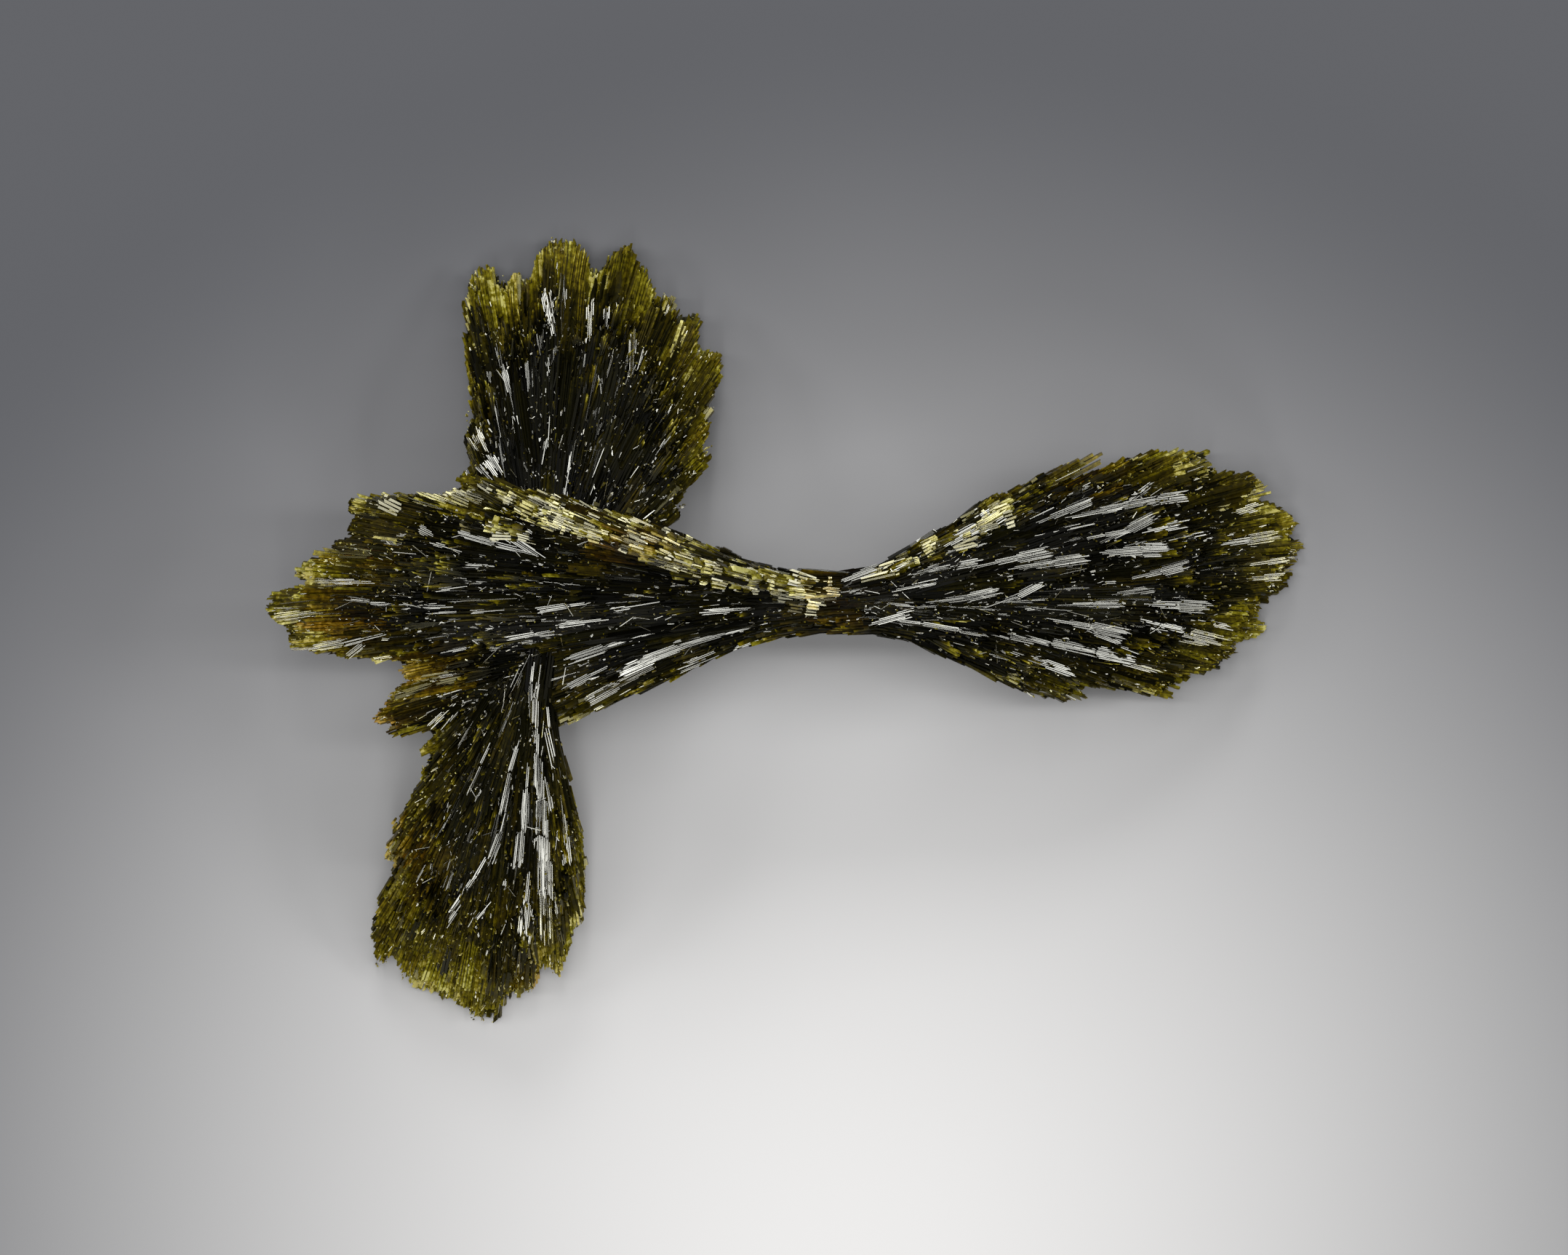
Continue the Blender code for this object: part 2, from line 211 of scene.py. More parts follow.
class Fan:
    """Places on one fan. Each side is (half width, slope, where it starts to spread). No crystal is centred
    nearer to the waist than hidden, and a fan with a hidden part comes out from under another."""

    def __init__(self, name, waist, heading, left, right, height, glow_band, mass_glow, hidden=-1.0):
        self.name = name
        self.mass_glow = mass_glow
        self.hidden = hidden
        self.sunk = NECK_SINK if hidden > 0.0 else 0.0
        self.waist = np.array(waist)
        self.along = np.array([math.cos(math.radians(heading)), math.sin(math.radians(heading))])
        self.leftward = np.array([-self.along[1], self.along[0]])
        self.left = left
        self.right = right
        self.height = height
        self.glow_band = glow_band
        self.shares = np.linspace(-0.96, 0.96, SHARE_STEPS)
        self.reaches = np.array([self.find_reach(share) for share in self.shares])

    def half_width(self, distance, share):
        widths = [np.hypot(start, slope * np.maximum(distance - delay, 0.0)) for start, slope, delay in
                  (self.left, self.right)]
        return np.where(share >= 0.0, *widths)

    def middle(self, distance, share):
        """The middle surface's points, as rows of x, y and z."""
        aside = share * self.half_width(distance, share)
        plan = self.waist + np.outer(distance, self.along) + np.outer(aside, self.leftward)
        return np.column_stack([plan, self.height(np.maximum(distance, 0.0), share)])

    def find_reach(self, share):
        """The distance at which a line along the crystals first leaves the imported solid."""
        distances = np.arange(FIRST_DISTANCE, REACH_LIMIT, REACH_STEP)
        points = self.middle(distances, np.full(len(distances), share))
        for distance, point in zip(distances, points):
            if not inside_packed(point):
                return distance
        return REACH_LIMIT

    def reach(self, share):
        return np.interp(share, self.shares, self.reaches)

    def half_thickness(self, distance, share):
        part = distance / self.reach(share)
        edge = 1.0 - (1.0 - EDGE_THICKNESS_SHARE) * np.abs(share) ** 4
        rim = 1.0 - (1.0 - RIM_THICKNESS_SHARE) * smooth((part - RIM_TAPER_FROM) / (1.0 - RIM_TAPER_FROM))
        return (WAIST_HALF_THICKNESS + FLARE_PER_MM * distance) * edge * rim

    def glow(self, distance, share):
        """How much light is painted as coming through: little in the thick middle, much at the rim and the side
        edges.
        """
        to_rim = self.reach(share) - distance
        to_edge = (1.0 - np.abs(share)) * self.half_width(distance, share)
        near = np.minimum(to_rim, EDGE_DISTANCE_FACTOR * to_edge)
        thin = RIM_GLOW * (1.0 - smooth(near / self.glow_band))
        thin += TIP_GLOW * (1.0 - smooth(near / TIP_GLOW_BAND))
        return self.mass_glow + thin * smooth((distance - 4.0) / 12.0)

    def find(self, pixels):
        """Distances and shares of places in the photograph, given as rows of pixels."""
        plan = (np.array(pixels, float) - PHOTO_ORIGIN) / PIXELS_PER_MM * (1.0, -1.0) - self.waist
        distance, aside = plan @ self.along, plan @ self.leftward
        return distance, aside / self.half_width(np.maximum(distance, 0.0), aside)

    def ridges(self, distance, share, side):
        """Long ridges and hollows that run with the crystals, flat at the waist and the rim."""
        phase = len(self.name) + 2.0 * side
        height = 0.0
        for rise, waves, bend in RIDGES:
            wander = bend * np.sin(distance / 4.0 + phase)
            height += rise * np.sin(2.0 * math.pi * waves * share + wander + phase)
        fading = smooth((distance - 2.0) / 8.0) * smooth((self.reach(share) - distance) / 5.0)
        return height * fading * (1.0 - np.abs(share) ** 3)

    def surface(self, distance, share, side, lift):
        """Points on the front (side 1) or the back (side -1), lifted off it by some millimetres."""
        points = self.middle(distance, share)
        outward = self.half_thickness(distance, share) + self.ridges(distance, share, side) + lift
        points[:, 2] += side * outward
        return points

    def settled(self, distance, lift):
        """The lift, lower near the waist of a fan that comes out from under another."""
        return lift - self.sunk * (1.0 - smooth(distance / NECK_LENGTH))


def right_height(distance, share):
    """Droops evenly to the table."""
    return LEVEL_WAIST_Z - 10.3 * (distance / 30.0) ** 1.35 + 1.6 * share * smooth(distance / 20.0)


def left_height(distance, share):
    """Rises to a crest along the upper side."""
    crest = 4.2 * np.exp(-(((share + 0.60) / 0.26) ** 2)) * (1.0 - 0.65 * smooth((distance - 18.0) / 14.0))
    return LEVEL_WAIST_Z - 1.4 * (distance / 36.0) ** 1.5 + smooth(distance / 14.0) * (crest - 1.6 * share)


def upper_height(distance, share):
    """Leans back to the table behind the crest."""
    return CROSS_WAIST_Z - 10.9 * smooth(distance / 26.0) ** 0.75 - 0.7 * share * smooth(distance / 16.0)


def lower_height(distance, share):
    """Comes out before the level bow tie and droops to the table, with a fold along its right side."""
    fold = 1.5 * np.exp(-(((share - 0.18) / 0.30) ** 2)) * smooth(distance / 12.0)
    return CROSS_WAIST_Z + fold - 11.4 * (distance / 25.0) ** 1.45


LEVEL_WAIST = (3.76, 2.02)
CROSS_WAIST = (-16.84, 0.52)
RIGHT = Fan("right_fan", LEVEL_WAIST, heading=4.5, left=(2.15, 0.62, 0.6), right=(2.15, 0.62, 0.6),
            height=right_height, glow_band=8.0, mass_glow=0.10)
LEFT = Fan("left_fan", LEVEL_WAIST, heading=180.0, left=(2.15, 0.50, 2.4), right=(2.15, 0.46, 2.0),
           height=left_height, glow_band=9.5, mass_glow=0.09)
UPPER = Fan("upper_fan", CROSS_WAIST, heading=82.9, left=(1.5, 0.72, 0.0), right=(1.5, 0.95, 0.0),
            height=upper_height, glow_band=8.0, mass_glow=0.14, hidden=3.0)
LOWER = Fan("lower_fan", CROSS_WAIST, heading=258.5, left=(1.5, 0.50, 2.8), right=(1.5, 0.72, 1.2),
            height=lower_height, glow_band=10.0, mass_glow=0.22, hidden=3.0)
FANS = (RIGHT, LEFT, UPPER, LOWER)


# The dark heart of each bow tie
# Below the blades that show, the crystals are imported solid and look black. It is a plain closed body just
# under the fans' surfaces, and it shows only in the gaps between blades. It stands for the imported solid.
HEART_DEPTH = 0.75
HEART_DEPTH_SHARE = 0.55
HEART_NECK_LENGTH = 9.0
HEART_SHARES = np.linspace(-0.86, 0.86, 48)
HEART_PARTS = np.linspace(0.0, 1.0, 26)
HEART_RIM_RETREAT = 1.3
HEART_LOWEST = 0.1
EPIDOTE_IOR = 1.74


def heart_mesh(name, near, far):
    """A closed body through two fans: a front and a back sheet, joined along their edges."""
    sheets = []
    for side in (1, -1):
        rows = []
        for share in HEART_SHARES:
            row = []
            for fan, own_share, parts in ((far, -share, HEART_PARTS[::-1]), (near, share, HEART_PARTS[1:])):
                distances = parts * (fan.reach(own_share) - HEART_RIM_RETREAT)
                shares = np.full(len(parts), own_share)
                depth = np.minimum(HEART_DEPTH, HEART_DEPTH_SHARE * fan.half_thickness(distances, shares))
                depth = depth + fan.sunk * (1.0 - smooth(distances / HEART_NECK_LENGTH))
                row.append(fan.surface(distances, shares, side, -depth))
            rows.append(np.vstack(row))
        sheets.append(rows)
    points = np.array(sheets)
    points[..., 2] = np.maximum(points[..., 2], HEART_LOWEST)
    _, columns, length, _ = points.shape
    front = np.arange(columns * length).reshape(columns, length)
    quads = np.stack([front[:-1, :-1], front[1:, :-1], front[1:, 1:], front[:-1, 1:]], axis=-1)
    quads = quads.reshape(-1, 4)
    edge = np.concatenate([front[:, 0], front[-1, 1:], front[-2::-1, -1], front[0, -2:0:-1]])
    following = np.roll(edge, -1)
    joins = np.column_stack([following, edge, edge + front.size, following + front.size])
    faces = np.vstack([quads, quads[:, ::-1] + front.size, joins]).tolist()
    mesh = bpy.data.meshes.new(name)
    mesh.from_pydata((points.reshape(-1, 3) * MM).tolist(), [], faces)
    shell = bmesh.new()
    shell.from_mesh(mesh)
    bmesh.ops.recalc_face_normals(shell, faces=shell.faces)
    shell.to_mesh(mesh)
    shell.free()
    return mesh


def blackish_green():
    """Massive epidote, which lets no light through: almost black with a green cast, and dull between blades."""
    material = bpy.data.materials.new("blackish green epidote, massive")
    material.use_nodes = True
    shader = material.node_tree.nodes["Principled BSDF"]
    shader.inputs["Base Color"].default_value = (*linear("#0b0b04"), 1.0)
    shader.inputs["Roughness"].default_value = 0.45
    shader.inputs["IOR"].default_value = EPIDOTE_IOR
    shader.inputs["Specular IOR Level"].default_value = 0.1
    return material


def add_piece(name, mesh, material):
    """A finished piece at the origin, which rides on the specimen."""
    mesh.materials.clear()
    mesh.materials.append(material)
    piece = bpy.data.objects.new(name, mesh)
    bpy.context.scene.collection.objects.link(piece)
    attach(piece, "root")
    return piece


massive = blackish_green()
for heart_name, near_fan, far_fan in (("level_heart", RIGHT, LEFT), ("crossing_heart", UPPER, LOWER)):
    heart = add_piece(heart_name, heart_mesh(heart_name, near_fan, far_fan), massive)
    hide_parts("epidote_crystals")


# The felt of dull blades
# Most blades of a fan lie flat against their neighbours and are etched and dull, so they look almost black,
# and olive towards the rim, where light coming through them is painted. Bundles of them cover the front and
# the back of each fan like shingles, tips outward.
GRAIN = "grain"
GLOW = "glow"
GLOSS = "gloss"
TINT = "tint"
BLADE_HALF_WIDTH = 0.5
BLADE_TOP_HALF = 0.40
BLADE_ROOT_SHARE = 0.7
CHISELS = (0.0, -0.10, 0.10)
CHISEL_TOP = 0.03
FLOOR_GAP = 0.12
WAIST_CROSSING = 2.5
LEAN_COST = 3.0
SHORTEST_SHARE = 0.25
SETTLING = 0.03


def blade_object(index, slant):
    """A closed bar along X, one unit long, wide and deep, with its front face at z = 0 and a chisel tip."""
    root_half, root_top = BLADE_HALF_WIDTH * BLADE_ROOT_SHARE, BLADE_TOP_HALF * BLADE_ROOT_SHARE
    tip_left, tip_right = 1.0 - max(slant, 0.0), 1.0 + min(slant, 0.0)
    points = [
        (0.0, -root_half, -1.0), (0.0, root_half, -1.0), (0.0, root_top, 0.0), (0.0, -root_top, 0.0),
        (tip_right, -BLADE_HALF_WIDTH, -1.0), (tip_left, BLADE_HALF_WIDTH, -1.0),
        (tip_left - CHISEL_TOP, BLADE_TOP_HALF, 0.0), (tip_right - CHISEL_TOP, -BLADE_TOP_HALF, 0.0),
    ]
    faces = [(3, 2, 1, 0), (4, 5, 6, 7), (0, 1, 5, 4), (2, 3, 7, 6), (1, 2, 6, 5), (3, 0, 4, 7)]
    mesh = bpy.data.meshes.new(f"blade_{index}")
    mesh.from_pydata(points, [], faces)
    return bpy.data.objects.new(f"blade_{index}", mesh)


blade_kinds = bpy.data.collections.new("blade kinds")
for blade_index, blade_slant in enumerate(CHISELS):
    blade_kinds.objects.link(blade_object(blade_index, blade_slant))


def crystals_tree():
    """Geometry Nodes: put a blade on every seed, turned and sized by the seed's own attributes."""
    tree = bpy.data.node_groups.new("crystals on seeds", "GeometryNodeTree")
    for name, kind in (("Geometry", "Geometry"), ("Blade kinds", "Collection"), ("Material", "Material"),
                       ("Size factor", "Float"), ("Seed", "Int")):
        tree.interface.new_socket(name, in_out="INPUT", socket_type=f"NodeSocket{kind}")
    tree.interface.new_socket("Geometry", in_out="OUTPUT", socket_type="NodeSocketGeometry")
    given = add_node(tree, "NodeGroupInput")
    kinds = add_node(tree, "GeometryNodeCollectionInfo", {
        "Collection": given.outputs["Blade kinds"], "Separate Children": True, "Reset Children": True,
    })
    turn = add_node(tree, "GeometryNodeInputNamedAttribute", {"Name": "turn"}, data_type="FLOAT_VECTOR")
    size = add_node(tree, "GeometryNodeInputNamedAttribute", {"Name": "size"}, data_type="FLOAT_VECTOR")
    scaled = add_node(tree, "ShaderNodeVectorMath", {
        0: size.outputs["Attribute"], "Scale": given.outputs["Size factor"],
    }, operation="SCALE")
    kind = add_node(tree, "FunctionNodeRandomValue", {"Seed": given.outputs["Seed"]}, data_type="INT")
    kind.inputs[4].default_value = 0
    kind.inputs[5].default_value = len(CHISELS) - 1
    rotation = add_node(tree, "FunctionNodeEulerToRotation", {"Euler": turn.outputs["Attribute"]})
    placed = add_node(tree, "GeometryNodeInstanceOnPoints", {
        "Points": given.outputs["Geometry"], "Instance": kinds.outputs["Instances"], "Pick Instance": True,
        "Instance Index": kind.outputs[2], "Rotation": rotation.outputs["Rotation"],
        "Scale": scaled.outputs["Vector"],
    })
    solid = add_node(tree, "GeometryNodeRealizeInstances", {"Geometry": placed.outputs["Instances"]})
    painted = add_node(tree, "GeometryNodeSetMaterial", {
        "Geometry": solid.outputs["Geometry"], "Material": given.outputs["Material"],
    })
    add_node(tree, "NodeGroupOutput", {"Geometry": painted.outputs["Geometry"]})
    return tree


crystals = crystals_tree()


def unit(vectors):
    return vectors / np.linalg.norm(vectors, axis=-1, keepdims=True)


def rolled(one, other, degrees):
    """Two sets of directions at right angles, turned in their plane from the first towards the second."""
    angle = np.radians(degrees)[:, None]
    return one * np.cos(angle) + other * np.sin(angle), other * np.cos(angle) - one * np.sin(angle)


def squared(vectors, axis):
    """The directions at right angles to an axis that are nearest to the vectors."""
    return unit(vectors - axis * np.sum(vectors * axis, axis=1, keepdims=True))


def turns(along, facing):
    """Euler angles that turn X to each row of along and Z towards each row of facing."""
    across = unit(np.cross(facing, along))
    up = np.cross(along, across)
    return np.column_stack([
        np.arctan2(across[:, 2], up[:, 2]),
        -np.arcsin(np.clip(along[:, 2], -1.0, 1.0)),
        np.arctan2(along[:, 1], along[:, 0]),
    ])


class Bundles:
    """Bundles of blades side by side on one side of a fan, along its growth, centred at distances and
    shares."""

    def __init__(self, fan, distance, share, side, lift, length, count, width):
        narrow = fan.half_width(np.maximum(distance - length / 3.0, 0.0), share)
        room = 1.0 - np.minimum(0.5 * count * width / narrow, 0.9)
        share = np.clip(share, -room, room)
        self.fan, self.distance, self.share, self.length = fan, distance, share, length
        self.count, self.width = count, width
        lift = fan.settled(distance, lift)
        inner = np.maximum(distance - length / 2.0, -WAIST_CROSSING)
        self.root = fan.surface(inner, share, side, lift)
        self.along = fan.surface(inner + length, share, side, lift) - self.root
        step = 0.5 / fan.half_width(distance, share)
        across = fan.surface(distance, np.minimum(share + step, 1.0), side, lift)
        across -= fan.surface(distance, np.maximum(share - step, -1.0), side, lift)
        self.facing = unit(np.cross(self.along, across) * side)
        self.along = unit(self.along)
        self.side = side
        self.shining = np.zeros(len(distance), bool)

    def __len__(self):
        return len(self.distance)

    def turn(self, roll, pitch, yaw, swing=0.0):
        """Tip the bundles sideways, raise their tips and swing them in their plane, by spreads in
        degrees."""
        count = len(self)
        across = np.cross(self.facing, self.along)
        self.facing, across = rolled(self.facing, across, chance.normal(0.0, roll, count))
        self.along, self.facing = rolled(self.along, self.facing, chance.uniform(0.0, pitch, count))
        self.along, _ = rolled(self.along, across, swing + chance.normal(0.0, yaw, count))
        return self

    def turn_to_lights(self, limit, spread, part=1.0, tilt=6.0):
        """Roll a part of the bundles until they mirror a softbox to the camera, within a spread. None is
        rolled past the limit or tipped along its length past the tilt. All are in degrees."""
        middle = self.root + self.along * self.length[:, None] / 2.0
        to_light = unit(light_points[None] - middle[:, None] * MM)
        to_camera = unit(np.array(camera.location) - middle * MM)
        half = unit(to_light + to_camera[:, None])
        lean = np.degrees(np.arcsin(np.clip(np.einsum("nlk,nk->nl", half, self.along), -1.0, 1.0)))
        swing = np.degrees(np.arccos(np.clip(np.einsum("nlk,nk->nl", half, self.facing), -1.0, 1.0)))
        best = (swing + LEAN_COST * np.abs(lean)).argmin(axis=1)
        rows = np.arange(len(self))
        fits = (swing[rows, best] < limit) & (np.abs(lean[rows, best]) < tilt)
        self.shining = fits & (chance.uniform(0.0, 1.0, len(self)) < part)
        goal = half[rows, best] + np.radians(chance.normal(0.0, spread, (len(self), 3)))
        self.facing = unit(np.where(self.shining[:, None], goal, self.facing))
        self.along = squared(self.along, self.facing)
        self.root = middle - self.along * self.length[:, None] / 2.0
        return self

    def aim(self, distance, share, end_distance, end_share, lift):
        """Lay each bundle from one place on the fan to another, also across the growth."""
        fan = self.fan
        self.root = fan.surface(distance, share, self.side, fan.settled(distance, lift))
        tip = fan.surface(end_distance, end_share, self.side, fan.settled(end_distance, lift))
        self.along = tip - self.root
        self.length = np.linalg.norm(self.along, axis=1)
        self.along = unit(self.along)
        self.facing = squared(self.facing, self.along)
        return self

    def blades(self, glow, gloss, tint, sheen=0.85, gap=1.0, fan_out=0.0, crown=0.0, wedge=0.0,
               ragged=(0.3, 0.3), depth=0.30, wander=1.2, flutter=1.8, uneven=0.08, overhang=(-0.4, 0.3)):
        """Seeds for the blades side by side in each bundle, whose ends are ragged at the root and the tip
        by shares of its length. No blade reaches past the rim by more than the overhang. Shining bundles
        have the sheen."""
        count, width = self.count, self.width
        bundle = np.repeat(np.arange(len(self)), count)
        total = len(bundle)
        first = np.cumsum(count) - count
        half_count = np.maximum((count - 1) / 2.0, 0.5)[bundle]
        place_in = np.arange(total) - first[bundle] - (count[bundle] - 1) / 2.0
        across = np.cross(self.facing, self.along)[bundle]
        length = self.length[bundle]
        swing = fan_out * place_in / half_count
        outer = (place_in / half_count) ** 2
        wedge, root_rag, tip_rag = (np.broadcast_to(value, len(self))[bundle] for value in (wedge, *ragged))
        start = (wedge * outer + root_rag * chance.uniform(0.0, 1.0, total)) * length
        end = (1.0 - crown * outer - tip_rag * chance.uniform(0.0, 1.0, total)) * length
        aside = self.side * place_in * width[bundle] * gap
        own_share = self.share[bundle] + aside / self.fan.half_width(self.distance, self.share)[bundle]
        reach = self.fan.reach(own_share) + chance.uniform(*overhang, len(self))[bundle]
        reach += chance.uniform(-0.1, 0.1, total)
        end = np.minimum(end, reach - self.distance[bundle] + length / 2.0)
        start = np.minimum(start, end - SHORTEST_SHARE * length)
        own_length = end - start
        sideways = place_in * width[bundle] * gap - np.sin(np.radians(swing)) * length
        place = self.root[bundle] + self.along[bundle] * start[:, None]
        place += across * (sideways + np.sin(np.radians(swing)) * start)[:, None]
        place += self.facing[bundle] * chance.normal(0.0, SETTLING, total)[:, None]
        swing = swing + chance.normal(0.0, wander, total)
        own_along, turned_across = rolled(self.along[bundle], across, swing)
        own_facing, _ = rolled(self.facing[bundle], turned_across, chance.normal(0.0, flutter, total))
        own_width = width[bundle] * chance.uniform(0.8, 1.15, total)
        lowest = np.minimum(place[:, 2], (place + own_along * own_length[:, None])[:, 2])
        place[:, 2] += np.maximum(FLOOR_GAP + depth * own_facing[:, 2].clip(0.0) - lowest, 0.0)
        seeds = {
            "place": place, "turn": turns(own_along, own_facing),
            "size": np.column_stack([own_length, own_width, np.full(total, depth)]),
        }
        gloss = np.where(self.shining, sheen, gloss)
        for key, value, spread in ((GLOW, glow, uneven), (GLOSS, gloss, 0.08), (TINT, tint, 0.05)):
            seeds[key] = np.clip(value[bundle] + chance.normal(0.0, spread, total), 0.0, 1.0)
        return seeds


def joined(groups):
    """Seeds of several groups as one."""
    return {key: np.concatenate([group[key] for group in groups]) for key in groups[0]}


def grow(name, seeds, material, seed):
    """Turn seeds into a plain mesh of crystals, which is a piece of its own."""
    mesh = bpy.data.meshes.new(name)
    mesh.from_pydata((seeds["place"] * MM).tolist(), [], [])
    for attribute in ("turn", "size"):
        values = seeds[attribute] * (MM if attribute == "size" else 1.0)
        mesh.attributes.new(attribute, "FLOAT_VECTOR", "POINT").data.foreach_set("vector", values.ravel())
    for attribute in (GLOW, GLOSS, TINT):
        mesh.attributes.new(attribute, "FLOAT", "POINT").data.foreach_set("value", seeds[attribute])
    grower = bpy.data.objects.new(name, mesh)
    bpy.context.scene.collection.objects.link(grower)
    modifier = grower.modifiers.new("crystals on seeds", "NODES")
    modifier.node_group = crystals
    given = {"Blade kinds": blade_kinds, "Material": material, "Size factor": 1.0, "Seed": seed}
    for item in crystals.interface.items_tree:
        if item.in_out == "INPUT" and item.name in given:
            modifier[item.identifier] = given[item.name]
    grown = bpy.data.meshes.new_from_object(grower.evaluated_get(bpy.context.evaluated_depsgraph_get()))
    bpy.data.objects.remove(grower)
    bpy.data.meshes.remove(mesh)
    grown.name = name
    store_grain(grown)
    return add_piece(name, grown, material)


def store_grain(mesh):
    """Keep each vertex's place on its own blade, in millimetres, for the striations, and drop what is
    spent. Every blade starts elsewhere in the striations."""
    corners = len(blade_kinds.objects[0].data.vertices)
    points = np.empty(len(mesh.vertices) * 3, np.float32)
    mesh.vertices.foreach_get("co", points)
    points[2::3] = np.maximum(points[2::3], 0.0)
    mesh.vertices.foreach_set("co", points)
    points = points.reshape(-1, corners, 3)
    root = points[:, :4].mean(axis=1)
    along = points[:, 4:].mean(axis=1) - root
    length = np.linalg.norm(along, axis=1, keepdims=True)
    across = unit(points[:, 1] - points[:, 0])
    offset = points - root[:, None]
    birth = (np.arange(len(points)) * 0.731 % 50.0)[:, None]
    lengthways = np.einsum("nij,nj->ni", offset, along / length)
    sideways = np.einsum("nij,nj->ni", offset, across)
    grain = np.stack([lengthways / MM + birth, sideways / MM + birth * 3.0, lengthways / length], axis=2)
    kept = mesh.attributes.new(GRAIN, "FLOAT_VECTOR", "POINT")
    kept.data.foreach_set("vector", grain.astype(np.float32).ravel())
    for spent in ("turn", "size"):
        if spent in mesh.attributes:
            mesh.attributes.remove(mesh.attributes[spent])


CLOUDS_PER_MM = 2.6
STRIAE_PER_MM = 8.0
STRIAE_PER_MM_ALONG = 0.5
# Painted light through the crystal: TIP_LIGHT lightens the tips, and the colours from thick to thin are dark
# where no light is painted as coming through and yellow-green where much is.
TIP_LIGHT = 1.15
AMBER_TINT = "#d9962c"
THICK_TO_THIN = [
    (0.0, "#040401"), (0.25, "#131203"), (0.5, "#352f05"),
    (0.72, "#645c09"), (0.86, "#857e20"), (1.0, "#b9b468"),
]


def ranged(tree, value, to, source=(0.0, 1.0)):
    """A value moved from the source range to another."""
    return add_node(tree, "ShaderNodeMapRange", {
        "Value": value, "From Min": source[0], "From Max": source[1], "To Min": to[0], "To Max": to[1],
    }).outputs["Result"]


def combined(tree, operation, one, other, clamped=True):
    node = add_node(tree, "ShaderNodeMath", {0: one, 1: other}, operation=operation, use_clamp=clamped)
    return node.outputs[0]


def own(tree, name):
    """A value that each crystal has of its own."""
    return add_node(tree, "ShaderNodeAttribute", attribute_name=name).outputs["Fac"]


def body_colour(tree, grain, root_light):
    """Painted light gathers towards a crystal's tip, and the mass is clouded by inclusions some tenths of a
    millimetre wide. Stained crystals are amber."""
    tipward = ranged(tree, add_node(tree, "ShaderNodeSeparateXYZ", {"Vector": grain}).outputs["Z"],
                     to=(root_light, TIP_LIGHT))
    cloud = add_node(tree, "ShaderNodeTexNoise", {
        "Vector": add_node(tree, "ShaderNodeTexCoord").outputs["Object"], "Scale": CLOUDS_PER_MM / MM,
        "Detail": 3.0, "Roughness": 0.6,
    })
    clouded = ranged(tree, cloud.outputs["Fac"], to=(0.75, 1.18), source=(0.35, 0.65))
    lit = combined(tree, "MULTIPLY", own(tree, GLOW), tipward, clamped=False)
    ramp = add_node(tree, "ShaderNodeValToRGB", {"Fac": combined(tree, "MULTIPLY", lit, clouded)})
    while len(ramp.color_ramp.elements) < len(THICK_TO_THIN):
        ramp.color_ramp.elements.new(0.5)
    for element, (position, code) in zip(ramp.color_ramp.elements, THICK_TO_THIN):
        element.position = position
        element.color = (*linear(code), 1.0)
    brown = add_node(tree, "ShaderNodeMix", {"Factor": own(tree, TINT)},
                     data_type="RGBA", blend_type="MULTIPLY")
    tree.links.new(ramp.outputs["Color"], brown.inputs[6])
    brown.inputs[7].default_value = (*linear(AMBER_TINT), 1.0)
    return brown.outputs[2]


def bladed_epidote(name, dull, glossy, specular, bump_height, reflected="#ffffff", root_light=0.8):
    """Striated blades, black-green in the mass, with yellow-green painted where light comes through thin
    crystal, at rims and tips.
    What a thin crystal reflects is warm, because part of it has gone through the crystal. The striations run
    along it, from 0.12 mm apart down to a quarter of that. Roughness goes from dull to glossy by the crystal's
    own gloss."""
    material = bpy.data.materials.new(name)
    material.use_nodes = True
    tree = material.node_tree
    shader = tree.nodes["Principled BSDF"]
    grain = add_node(tree, "ShaderNodeAttribute", attribute_name=GRAIN).outputs["Vector"]
    tree.links.new(body_colour(tree, grain, root_light), shader.inputs["Base Color"])
    stretch = add_node(tree, "ShaderNodeMapping", {
        "Vector": grain, "Scale": (STRIAE_PER_MM_ALONG, STRIAE_PER_MM, 0.0),
    })
    striae = add_node(tree, "ShaderNodeTexNoise", {
        "Vector": stretch.outputs["Vector"], "Scale": 1.0, "Detail": 2.0, "Roughness": 0.5,
    }).outputs["Fac"]
    bump = add_node(tree, "ShaderNodeBump", {
        "Height": striae, "Strength": 1.0, "Distance": bump_height * MM,
    })
    tree.links.new(bump.outputs["Normal"], shader.inputs["Normal"])
    rough = ranged(tree, own(tree, GLOSS), to=(dull, glossy))
    uneven = ranged(tree, striae, to=(-0.03, 0.08), source=(0.3, 0.7))
    tree.links.new(combined(tree, "ADD", rough, uneven), shader.inputs["Roughness"])
    shader.inputs["IOR"].default_value = EPIDOTE_IOR
    shader.inputs["Specular IOR Level"].default_value = specular
    shader.inputs["Specular Tint"].default_value = (*linear(reflected), 1.0)
    return material


def scatter(fan, per_mm2, margin=0.0):
    """Random distances and shares spread evenly over a fan, out to its rim less a margin in millimetres."""
    longest = fan.reaches.max()
    widest = float(max(fan.half_width(longest, 1.0), fan.half_width(longest, -1.0)))
    tries = int(per_mm2 * 2.0 * widest * longest)
    share = chance.uniform(-1.0, 1.0, tries)
    distance = chance.uniform(0.0, longest, tries)
    fits = chance.uniform(0.0, widest, tries) < fan.half_width(distance, share)
    keep = fits & (distance < fan.reach(share) - margin) & (distance > fan.hidden)
    return distance[keep], share[keep]


# Places where iron stains the crystals amber: pixels and a radius in millimetres
AMBER = [((470, 857), 2.0), ((600, 925), 2.2), ((845, 757), 1.6), ((1150, 825), 2.4), ((560, 1190), 2.5),
         ((900, 745), 1.2), ((740, 1360), 1.5), ((500, 770), 1.5), ((1505, 648), 2.2), ((530, 985), 1.6)]


